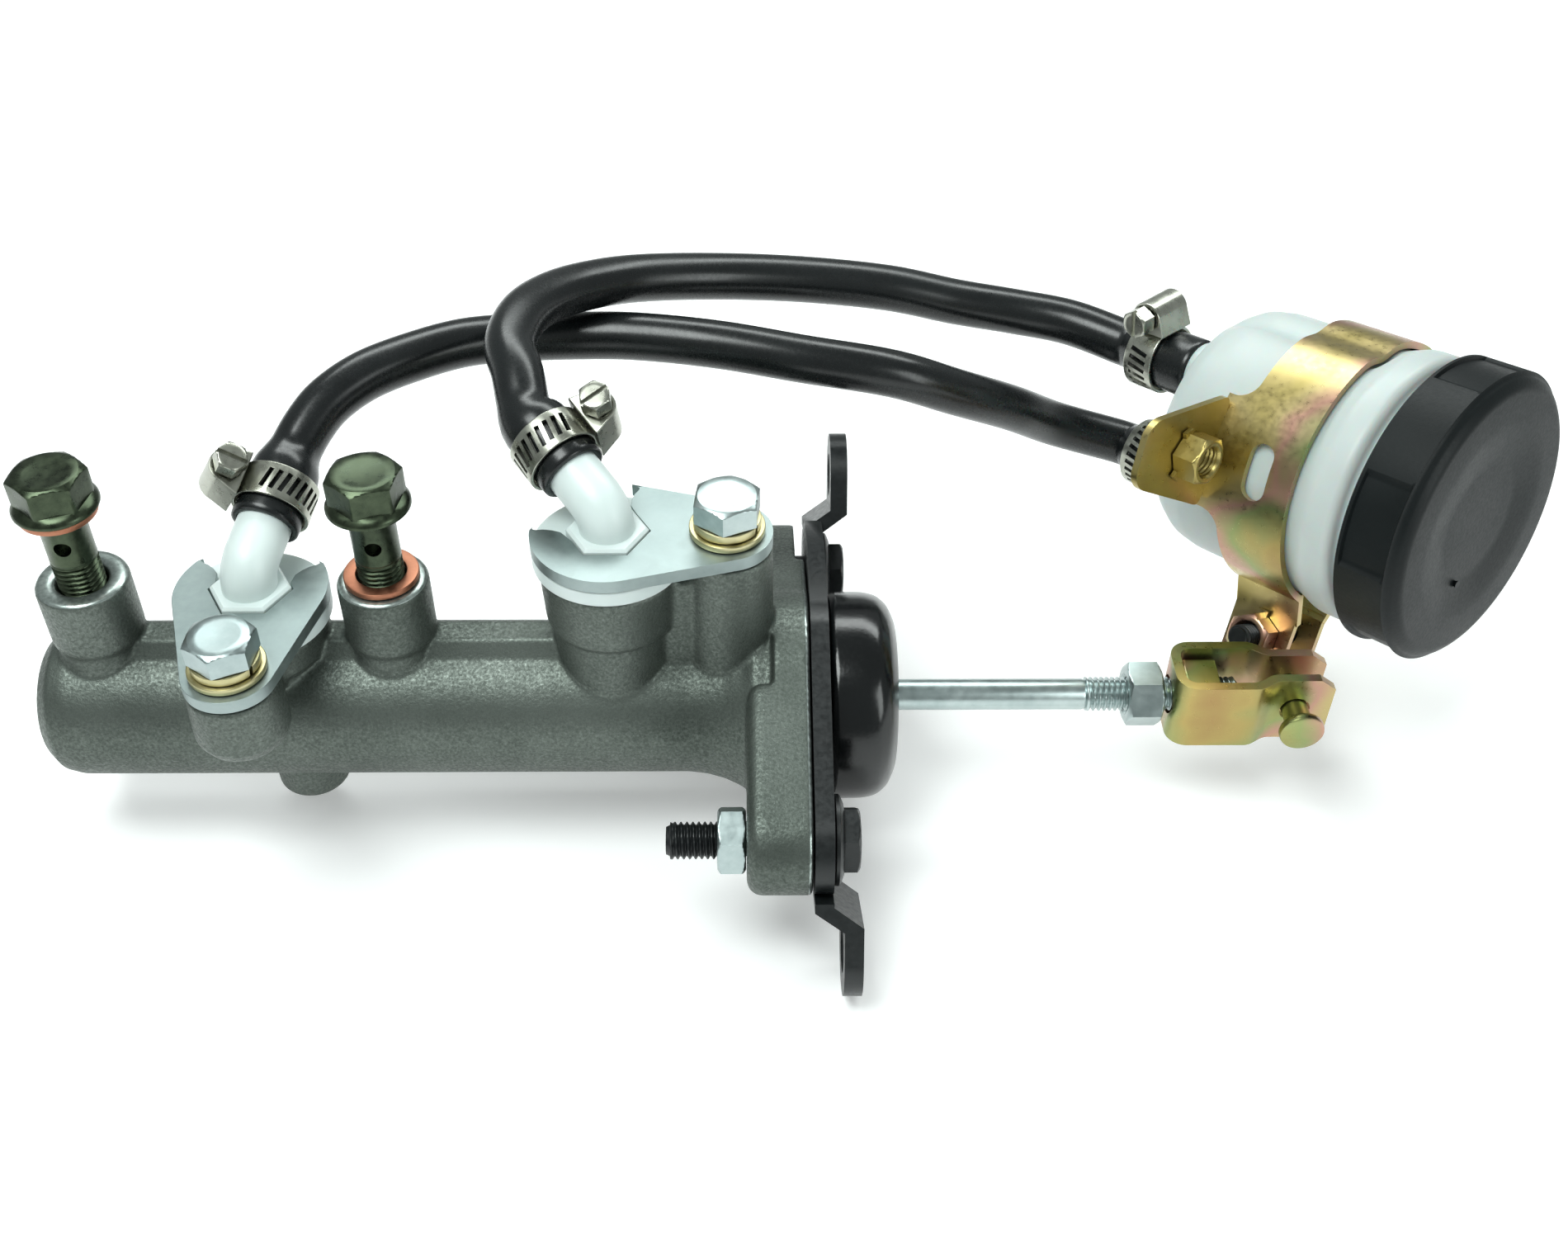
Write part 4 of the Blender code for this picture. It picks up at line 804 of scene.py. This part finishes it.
def plate_and_bolt(name, centre, bolt, opening, low, high):
    """Plate whose two arms reach round the hexagon and leave an opening behind the pipe."""
    side = math.degrees(math.acos((PLATE_R - LOBE_R) / PITCH))
    flat = (-bolt[1], bolt[0], 0.0)
    mouth = math.degrees(math.atan2(np.dot(opening, flat[:2]), np.dot(opening, bolt[:2]))) % 360
    turn = math.radians(mouth)
    tip = [(9.6, 12.6), (9.0, 13.0), (8.3, 12.4), (7.6, 11.0), (6.4, 9.6), (4.8, 8.4), (0.0, 7.7)]
    arms = [(x, -y) for x, y in tip] + tip[::-1]
    arms = [(x * math.cos(turn) - y * math.sin(turn), x * math.sin(turn) + y * math.cos(turn))
            for x, y in arms]
    points = arc((0, 0), PLATE_R, side, mouth - MOUTH_HALF, 40) + arms
    points += arc((0, 0), PLATE_R, mouth + MOUTH_HALF, 360 - side, 40)
    points += arc((PITCH, 0), LOBE_R, -side, side, 24)
    plate = extruded("steel_plate_" + name, points, low, high, origin=centre, up=flat)
    notch_ring = hex_radius(2 * NOTCH_R * math.cos(TAU / 12))
    notch = from_rows("notch", [(high + 3, notch_ring), (low - 3, notch_ring)], None, centre,
                      Z_AXIS, X_AXIS)
    hole = cylinder("hole", M8_HOLE_R, high + 3, low - 3, segments=40,
                    origin=centre + bolt * PITCH)
    cut(plate, [notch, hole])
    bevel(plate, 0.4, 3, 30.0)
    keep(plate, "clamp_plate_" + name, PLATE)
    at = centre + bolt * PITCH
    washer = high + 0.3
    ring = washer + 1.8
    head = ring + 2.2
    flat_washer = lathe("washer_" + name, [
        (8.0, 1.5), (8.0, 0), (M8_HOLE_R, 0), (M8_HOLE_R, 1.5)], PALE_ZINC,
                        origin=at + Z_AXIS * washer, closed=True, rounding=0.35)
    keep(flat_washer, "flat_washer_" + name)
    spring_washer = lathe("lock_" + name, [
        (7.1, 1.9), (7.1, 0), (M8_HOLE_R, 0), (M8_HOLE_R, 1.9)], PALE_ZINC,
                          origin=at + Z_AXIS * ring, closed=True, rounding=0.25)
    split = block("split", (5.0, 0.9, 6.0), origin=at + np.array((5.0, -3.0, ring + 1.0)),
                  up=(0.5, 0.86, 0.0), direction=(0.15, 0.1, 1.0))
    cut(spring_washer, [split])
    shade(spring_washer)
    keep(spring_washer, "spring_washer_" + name)
    rows = hex_rows(13.0, head + 5.3, head, crown=-0.15)
    rows += ring_rows((M8_R, head), (M8_R, head - 2.0))
    rows += thread_rows(M8_R, head - 2.2, head - 16.6, THREAD_PITCH) + ring_rows((3.0, head - 16.8))
    screw = from_rows("m8_" + name, rows, ZINC, at, up=(0.1, 0.99, 0))
    keep(screw, "clamp_bolt_" + name)


# --- boot, pushrod and clevis ---
def boot_and_rod():
    boot = lathe("rubber_boot", [
        (4.2, 8.6), (7.0, 9.2), (12.0, 9.5), (17.0, 9.2), (20.6, 7.6), (22.7, 5.2), (23.4, 2.4),
        (23.5, 0.2), (23.5, -4.6), (22.8, -5.8), (15.2, -5.9), (14.8, -5.0), (14.8, -3.0),
        (19.6, -2.4), (21.0, 0.5), (20.4, 4.4), (16.0, 7.0), (10.0, 7.5), (4.2, 7.4)],
                 BOOT, direction=X_AXIS, closed=True, segments=96, rounding=1.2)
    keep(boot, "dust_boot")
    rows = ring_rows((0.3, 88.0), (2.9, 88.0), (3.6, 87.4))
    rows += thread_rows(3.9, 87.2, 53.2, THREAD_PITCH)
    rows += ring_rows((3.55, 52.4), (3.55, -8.6), (4.2, -9.0), (4.2, -10.6),
                      (2.6, -12.0), (2.6, -26.0), (1.6, -27.6), (0.3, -28.0))
    rod = from_rows("threaded_pushrod", rows, ZINC, (0, 0, 0), X_AXIS)
    keep(rod, "pushrod", body="primary_piston")
    nut = hex_nut("rod_nut", 13.0, 70.3, 62.3, 4.1, ZINC, (0, 0, 0), X_AXIS, (0, 0.5, 0.866))
    keep(nut, "pushrod_locknut", body="primary_piston")
    clevis()
    rows = ring_rows((0.3, 0.0), (4.4, 0.0), (4.85, -0.25), (5.0, -0.7),
                     (5.0, -1.6), (4.8, -2.0), (3.0, -2.0), (3.0, -21.8),
                     (2.4, -22.6), (0.3, -22.6))
    pin = from_rows("clevis_pin_fine", rows, YELLOW, (PIN_X, -13.0, 0), -Y_AXIS)
    # the cotter hole's cutter carries the painted hole shade
    hole = cylinder("cotter", 0.9, 8, -8, HOLE_SHADE, segments=24,
                    origin=(PIN_X, 7.0, 0), direction=X_AXIS)
    cut(pin, [hole])
    shade(pin)
    keep(pin, "clevis_pin", body="clevis_pin")


def clevis():
    """Yoke folded from strip: wide round the nut plate, drawn in towards the pin."""
    left, right, wide, narrow, sheet, bend = 72.3, 108.5, 7.8, 5.2, 2.2, 4.6
    hub = (left + bend, -wide + bend)
    outer = arc(hub, bend, 180, 270, 10)
    outer += soften([(88.0, -wide), (91.0, -wide), (95.0, -narrow), (98.0, -narrow)], 2.0, steps=6)
    outer.append((right, -narrow))
    inner = [(right, -narrow + sheet)]
    inner += soften([(97.4, -narrow + sheet), (94.4, -narrow + sheet), (90.4, -wide + sheet),
                     (87.4, -wide + sheet)], 1.5, steps=6)
    inner += arc(hub, bend - sheet, 270, 180, 8)
    half = [tuple(p) for p in outer + inner]
    points = half + [(x, -y) for x, y in reversed(half)]
    yoke = extruded("clevis_strip", points, -9.0, 9.0, up=Y_AXIS)
    cuts = [cylinder("rod_hole", 4.5, 80, 60, direction=X_AXIS, segments=40),
            cylinder("pin_hole", 3.4, 20, -20, direction=Y_AXIS,
                     origin=(PIN_X, 0, 0), segments=40)]
    for sign in (-1, 1):
        cuts.append(block("corner", (14.0, 30.0, 14.0), origin=(111.7, 0, sign * 12.6), up=Y_AXIS,
                          direction=(sign * 0.6, 0, 0.8)))
    cut(yoke, cuts)
    bevel(yoke, 0.45, 3, 35.0)
    keep(yoke, "clevis_yoke", YELLOW, body="primary_piston")
    nut = block("nut_plate", (7.6, 9.4, 13.0), origin=(79.2, 0, 0), up=Y_AXIS)
    cut(nut, [cylinder("bore", 4.2, 90, 60, direction=X_AXIS)])
    bevel(nut, 0.5, 2, 35.0)
    keep(nut, "clevis_nut_plate", YELLOW, body="primary_piston")


# --- reservoir ---
def dent(piece, depth, low, high):
    """Press a shallow hollow along the reservoir into a piece's wall."""
    turn = math.radians(DENT_ANGLE)
    for vertex in piece.data.vertices:
        local = RES.T @ (np.array(vertex.co) / MM - CAP_FACE)
        radius = math.hypot(local[0], local[1])
        if radius < 20.0 or not low < local[2] < high:
            continue
        away = math.remainder(math.atan2(local[1], local[0]) - turn, TAU)
        near_end = min(1.0, (local[2] - low) / 5.0, (high - local[2]) / 2.5)
        press = depth * math.exp(-(away / 0.13) ** 2) * near_end
        local[:2] *= 1.0 - press / radius
        vertex.co = Vector((CAP_FACE + RES @ local) * MM)


def reservoir():
    body = lathe("reservoir_shell", [
        (0.3, BASE_Z + 2.4), (BOTTLE_R - 9.5, BASE_Z + 2.4), (BOTTLE_R - 4.6, BASE_Z + 4.6),
        (BOTTLE_R - 2.6, BASE_Z + 10.0), (BOTTLE_R - 2.6, -28.0), (26.9, -16.0), (26.9, -5.0),
        (29.3, -5.0), (29.3, -15.6), (29.4, -17.4), (31.2, -18.0), (32.1, -19.4), (32.1, -24.4),
        (31.4, -26.2), (30.6, -28.4), (BOTTLE_R, -29.2), (BOTTLE_R, -34.0), (BOTTLE_R, -40.0),
        (BOTTLE_R, -46.0), (BOTTLE_R, -52.0), (BOTTLE_R, BASE_Z + 12.0),
        (BOTTLE_R - 0.9, BASE_Z + 7.0), (BOTTLE_R - 3.4, BASE_Z + 3.0),
        (BOTTLE_R - 7.4, BASE_Z + 0.8), (BOTTLE_R - 11.0, BASE_Z), (0.3, BASE_Z)],
                 origin=CAP_FACE, direction=AXIS, segments=160, rounding=1.0)
    dent(body, 2.2, BASE_Z + 2.0, -27.0)
    adds = []
    for x, y in NIPPLES.values():
        adds.append(lathe("nipple", [(0, 1.2), (7.4, 1.2), (7.0, -0.8), (4.9, -1.6), (4.6, -2.4),
                                     (4.6, -6.0), (0, -6.0)],
                          origin=in_reservoir(x, y, BASE_Z), direction=AXIS, rounding=0.5,
                          segments=48))
    unite(body, adds)
    shade(body, 40.0)
    keep(body, "reservoir_body", FROSTED)
    cap()


def cap():
    """Screw cap with pressed grips round its skirt and a dished face."""
    segments = 360
    angle = np.degrees(np.arange(segments) * TAU / segments)
    pressed = np.zeros(segments)
    for middle in (80.0, 161.0, 232.0, 304.0, 12.0):
        away = np.abs((angle - middle + 180.0) % 360.0 - 180.0)
        pressed = np.maximum(pressed, np.clip((18.5 - away) / 0.9, 0.0, 1.0))
    rows = []
    for radius, height in soften([(0.3, -1.3), (14.0, -1.3), (20.0, -0.35), (23.0, 0.0),
                                  (30.8, -0.1), (32.6, -1.5), (33.2, -2.6)], 1.2, steps=4):
        rows.append((height, np.full(segments, radius)))
    for step, height in ((0.0, -2.9), (0.9, -3.3), (1.0, -3.6), (1.0, -13.6), (0.0, -13.9),
                         (0.0, -14.6)):
        rows.append((height, 33.9 - 0.9 * pressed * step))
    for radius, height in ((33.4, -15.0), (30.1, -15.0), (30.1, -2.6), (0.3, -2.6)):
        rows.append((height, np.full(segments, radius)))
    lid = from_rows("screw_cap", rows, CAP, CAP_FACE, AXIS, sharp=40.0)
    # small vent on the cap face, coloured with the painted hole shade
    vent = lathe("vent", [(0, 0.0), (0.9, 0.0), (0.6, -0.9), (0, -0.9)], HOLE_SHADE, segments=24,
                 origin=in_reservoir(-6.0, -13.5, -0.4), direction=AXIS)
    lid = joined("screw_cap", [lid, vent], CAP)
    shade(lid, 40.0)
    keep(lid, "reservoir_cap", body="reservoir_cap")


# --- bracket ---
def around(angle):
    turn = math.radians(angle)
    return RES @ np.array((math.cos(turn), math.sin(turn), 0.0))


def bracket():
    """Band clamped round the reservoir, its two legs, and a tab with a weld nut."""
    outer = BAND_R + BRACKET_SHEET
    first, last = LEG_ANGLE + LEG_OPEN - 360.0, LEG_ANGLE - LEG_OPEN
    ring = arc((0, 0), outer, first, last, 150) + arc((0, 0), BAND_R, last, first, 150)
    band = extruded("bracket_band", ring, TAB_LOW, BAND_HIGH, origin=CAP_FACE, direction=AXIS)
    cuts = []
    fillet, root_half = 4.6, 24.5
    reach = math.degrees(fillet / outer)
    for sign, end in ((-1, first - 20.0), (1, last + 20.0)):
        for turned, top in ((root_half, BAND_LOW - fillet), (root_half + reach, BAND_LOW)):
            start = TAB_ANGLE + sign * turned
            sector = arc((0, 0), outer + 6.0, start, end, 60)
            sector += arc((0, 0), BAND_R - 6.0, end, start, 60)
            cuts.append(extruded("edge", sector, TAB_LOW - 5.0, top, origin=CAP_FACE,
                                 direction=AXIS))
        cuts.append(cylinder("fillet", fillet, 45, 20, segments=64,
                             origin=in_reservoir(0, 0, BAND_LOW - fillet),
                             direction=around(TAB_ANGLE + sign * (root_half + reach))))
    cut(band, cuts)
    down = around(LEG_ANGLE)
    across = np.cross(AXIS, down)
    middle = 0.5 * (BAND_LOW + BAND_HIGH)
    centre = in_reservoir(0, 0, middle)
    width = BAND_HIGH - BAND_LOW
    adds = []
    for side in (-1, 1):
        turn = math.radians(side * LEG_OPEN)
        root = (BAND_R + 0.8) * (math.cos(turn) * down + math.sin(turn) * across)
        bend = FOOT_BEND_R * down + side * FOOT_OFFSET * across
        adds.append(block("leg", (BRACKET_SHEET, np.linalg.norm(bend - root) + 2.4, width - 0.3),
                          origin=centre + 0.5 * (root + bend), direction=AXIS, up=bend - root))
        adds.append(block("foot", (BRACKET_SHEET, FOOT_END_R - FOOT_BEND_R + 0.8, width - 0.9),
                          origin=centre + 0.5 * (FOOT_BEND_R + FOOT_END_R - 0.8) * down
                          + side * FOOT_OFFSET * across, direction=AXIS, up=down))
    out = around(TAB_ANGLE)
    tab = soften([(-13.2, 31.0), (13.2, 31.0), (7.9, 56.4), (5.2, 59.0), (-5.2, 59.0),
                  (-7.9, 56.4)], 2.4, closed=True, steps=4)
    adds.append(extruded("tab", [tuple(p) for p in tab], TAB_LOW, TAB_LOW + BRACKET_SHEET,
                         origin=CAP_FACE, direction=AXIS, up=out))
    unite(band, adds)
    nut_at = CAP_FACE + out * TAB_HOLE_R
    screw_at = centre + down * FOOT_SCREW_R
    slot_out = around(159.0)
    slot = arc((0, 3.6), 3.0, 0, 180, 16) + arc((0, -3.6), 3.0, 180, 360, 16)
    cut(band, [
        cylinder("tab_hole", 3.0, -46, -58, origin=nut_at, direction=AXIS,
                 segments=32),
        cylinder("foot_hole", 3.4, 20, -20, segments=32, origin=screw_at,
                 direction=across),
        extruded("slot", slot, 25.0, 38.0, origin=in_reservoir(0, 0, -38.5), direction=slot_out,
                 up=np.cross(slot_out, AXIS))])
    bevel(band, 0.4, 3, 38.0)
    dent(band, 1.3, BAND_LOW - 5.0, BAND_HIGH + 2.5)
    keep(band, "reservoir_bracket", YELLOW)
    weld_nut("tab", nut_at + AXIS * (TAB_LOW + 1.9), AXIS, out, 6.0)
    seat = FOOT_OFFSET + 0.8 + 0.3
    weld_nut("foot", screw_at - seat * across, -across, down, 5.0)
    rows = hex_rows(9.0, seat + 5.2, seat + 1.4, crown=0.1)
    rows += ring_rows((5.0, seat + 1.3), (5.0, seat + 0.2), (4.8, seat),
                      (2.9, seat))
    rows += thread_rows(2.9, seat - 0.6, -15.6, 1.0) + ring_rows((2.2, -16.2))
    screw = from_rows("bracket_m6", rows, BLACK_PAINT, screw_at, across)
    keep(screw, "bracket_screw")


def weld_nut(name, origin, direction, up, height):
    flats = 11.6 * math.cos(TAU / 12)
    rows = hex_rows(flats, height, 0.0)[2:]
    bore = thread_rows(3.4, height - 0.7, 0.7, 1.0, 0.4)[::-1]
    rows = ring_rows((3.9, height)) + rows + ring_rows((3.9, 0.0))
    rows += [(z, r) for z, r in bore]
    nut = from_rows("nut_" + name, rows, YELLOW, origin, direction, up, closed=True)
    lugs = []
    for turn in (30.0, 150.0, 270.0):
        a = math.radians(turn)
        frame_axes = basis(direction, up)
        away = frame_axes @ np.array((math.cos(a), math.sin(a), 0.0))
        lugs.append(block("lug", (2.6, 2.6, 1.0), origin=np.asarray(origin) + away * 5.2
                          + unit(direction) * 0.5, direction=direction, up=away))
    nut = joined("nut_" + name, [nut] + lugs, YELLOW)
    shade(nut, 38.0)
    keep(nut, "weld_nut_" + name)


# --- hoses and clamps ---
def hose_ends(name):
    elbow = ELBOWS[name]
    arm = unit(elbow["arm"])
    start = np.array((elbow["x"], 0, elbow["rim"] + ARM_START)) + arm * ARM_LENGTH
    x, y = NIPPLES[name]
    return start, arm, in_reservoir(x, y, BASE_Z - 6.3), AXIS


def hose(name):
    start, arm, end, axis = hose_ends(name)
    straight = (0.0, 6.0, 12.0, 18.0)
    route = [start + arm * s for s in straight] + [np.array(p) for p in ROUTES[name]]
    route += [end - axis * s for s in reversed(straight)]
    route.append(end + axis * OVERLAP)
    path = smooth_curve(route)
    steps = np.linalg.norm(np.diff(path, axis=0), axis=1)
    travelled = np.concatenate([[0.0], np.cumsum(steps)])
    near = np.minimum(travelled, travelled[-1] - travelled)
    ease = np.clip((near - 13.0) / 8.0, 0.0, 1.0)
    radii = HOSE_END_R + (HOSE_R - HOSE_END_R) * ease * ease * (3 - 2 * ease)
    pinch = np.minimum(np.abs(travelled - CLAMP_BACK),
                       np.abs(travelled[-1] - OVERLAP - CLAMP_BACK - travelled))
    radii -= 0.35 * np.exp(-(pinch / 2.8) ** 2)
    piece = tube("hose_" + name, path, radii, HOSE, inner_start=5.95, inner_end=4.7)
    keep(piece, "feed_hose_" + name)


def clamp(name, centre, direction, outward, sign):
    """Worm-drive clamp: slotted band, pressed housing and a slotted hexagon screw."""
    direction = unit(direction)
    outward = unit(np.asarray(outward) - np.dot(outward, direction) * direction)
    across = np.cross(direction, outward) * sign
    band = lathe("band_" + name, [
        (CLAMP_OUT_R, CLAMP_HALF), (CLAMP_OUT_R, -CLAMP_HALF), (CLAMP_IN_R, -CLAMP_HALF),
        (CLAMP_IN_R, CLAMP_HALF)], origin=centre,
                 direction=direction, up=outward, closed=True, segments=120, rounding=0.25)
    slots = []
    for k in range(SLOT_COUNT):
        turn = TAU * k / SLOT_COUNT
        local = basis(direction, outward) @ np.array((math.cos(turn), math.sin(turn), 0.0))
        side = np.cross(direction, local)
        if np.dot(local, outward) > 0.62:
            continue
        slots.append(block("slot", (1.05, 4.9, 3.0), origin=centre + local * 8.2, direction=local,
                           up=direction + side * 0.22))
    cut(band, [joined("slots", slots)])
    seat = centre + outward * 11.9
    outline = [(-5.4, -3.9), (5.4, -3.9)] + arc((0, -0.2), 4.1, 8, 172, 18)
    housing = extruded("cover", outline, -5.3, 5.3, origin=seat, direction=across, up=outward)
    inside = cylinder("inside", CLAMP_IN_R, 12, -12, origin=centre,
                      direction=direction, up=outward)
    worm_room = cylinder("room", 3.0, 12, -12, origin=seat,
                         direction=across, segments=32)
    cut(housing, [inside, worm_room])
    bevel(housing, 0.35, 2, 40.0)
    piece = joined("clamp_" + name, [band, housing], STAINLESS)
    shade(piece, 40.0)
    keep(piece, "hose_clamp_" + name)
    rows = hex_rows(6.2, 10.0, 6.1)
    rows += ring_rows((2.4, 5.9)) + thread_rows(2.7, 5.6, -6.4, 2.0, 0.7) + ring_rows((1.6, -7.0))
    screw = from_rows("worm_" + name, rows, STAINLESS, seat, across, outward)
    driver = block("driver", (1.0, 12.0, 2.6), origin=seat + across * 10.4, direction=across,
                   up=outward)
    cut(screw, [driver])
    shade(screw, 38.0)
    keep(screw, "clamp_screw_" + name)


def hoses_and_clamps():
    for name in ELBOWS:
        hose(name)
    start, arm, end, axis = hose_ends("secondary")
    clamp("secondary_elbow", start + arm * CLAMP_BACK, arm, (-0.85, 0.0, 0.5), 1)
    clamp("secondary_reservoir", end - axis * CLAMP_BACK, axis, RES[:, 0], 1)
    start, arm, end, axis = hose_ends("primary")
    clamp("primary_elbow", start + arm * CLAMP_BACK, arm, (0.9, 0.3, 0.2), -1)
    clamp("primary_reservoir", end - axis * CLAMP_BACK, axis, RES[:, 1], 1)


# --- springs and inner parts ---
def spring(name, right, left, turns, body):
    """Coil in the bore from its right end to its left, carried rigidly by one body."""
    wire, radius, per_turn = 0.8, 7.0, 36
    length = right - left - 2 * wire
    angle = np.arange(int(turns * per_turn) + 1) * TAU / per_turn
    points = np.column_stack([right - wire - length * angle / angle[-1], radius * np.cos(angle),
                              radius * np.sin(angle)])
    coil = tube(name + "_coil", points, [wire] * len(points), STEEL, segments=12)
    keep(coil, name, body=body)
    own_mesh(coil)


def inner_parts():
    finishes = {"spring_steel": STEEL, "black_rubber": BOOT, "black_plastic": CAP}
    slots = {entry["node"]: entry["material_slot"] for entry in frame["record"]["subparts"]}
    for name, node in frame["nodes"].items():
        if slots[name] in finishes and not node.hide_render:
            for place in node.material_slots:
                place.material = finishes[slots[name]]


# --- floor, light and camera ---
def floor():
    n = Nodes("studio_floor")
    n.set(Base_Color=(0.94, 0.94, 0.94, 1.0), Roughness=0.7, Specular_IOR_Level=0.2)
    n.set(Emission_Color=(1.0, 1.0, 1.0, 1.0), Emission_Strength=0.22)
    low = CAD_BOX[0][2] / MM - 1.5
    sheet = to_mesh("studio_floor", [(-2500, -2500, low), (2500, -2500, low), (2500, 2500, low),
                                     (-2500, 2500, low)], [(0, 1, 2, 3)], n.material)


def soft_light(name, place, target, size, power, colour=(1.0, 1.0, 1.0)):
    lamp = bpy.data.lights.new(name, "AREA")
    lamp.shape, lamp.size, lamp.size_y = "RECTANGLE", size[0] * MM, size[1] * MM
    lamp.energy, lamp.color = power, colour
    made = bpy.data.objects.new(name, lamp)
    bpy.context.scene.collection.objects.link(made)
    place, target = Vector(place) * MM, Vector(target) * MM
    made.location = place
    made.rotation_euler = (target - place).to_track_quat("-Z", "Y").to_euler()


def lights():
    world = bpy.data.worlds.new("studio")
    bpy.context.scene.world = world
    world.use_nodes = True
    back = world.node_tree.nodes["Background"]
    back.inputs["Color"].default_value = (0.92, 1.0, 0.985, 1.0)
    back.inputs["Strength"].default_value = 0.33
    tint = (0.94, 1.0, 0.985)
    soft_light("key", (-260, -160, 640), (0, 0, 0), (420, 300), 4.0, tint)
    soft_light("fill", (560, -420, 300), (40, 0, 20), (260, 420), 1.5, tint)
    soft_light("top", (60, 420, 520), (0, 20, 0), (800, 160), 3.0, tint)
    bpy.context.scene.view_settings.view_transform = "Standard"


def camera():
    yaw, pitch, roll = (math.radians(v) for v in (-1.72, 42.37, 1.05))
    forward = np.array((-math.sin(yaw) * math.cos(pitch), math.cos(yaw) * math.cos(pitch),
                        -math.sin(pitch)))
    right = np.array((math.cos(yaw), math.sin(yaw), 0.0))
    above = np.cross(right, forward)
    right, above = (right * math.cos(roll) + above * math.sin(roll),
                    above * math.cos(roll) - right * math.sin(roll))
    lens = bpy.data.cameras.new("camera")
    lens.sensor_width, lens.lens, lens.clip_start = 36.0, 38.9, 0.01
    made = bpy.data.objects.new("camera", lens)
    bpy.context.scene.collection.objects.link(made)
    turn = Matrix(np.column_stack([right, above, -forward]).tolist()).to_4x4()
    made.matrix_world = Matrix.Translation(Vector((-24.15, -273.84, 273.31)) * MM) @ turn
    bpy.context.scene.camera = made


casting()
mounting_plate()
flange_bolts()
banjo_bolts()
for elbow_name, elbow_data in ELBOWS.items():
    elbow_parts(elbow_name, elbow_data)
boot_and_rod()
reservoir()
bracket()
hoses_and_clamps()
spring("primary_spring", -61.6, -103.6, 4.5, "secondary_piston")
spring("secondary_spring", -138.6, -171.2, 3.5, "housing")
inner_parts()
floor()
lights()
camera()
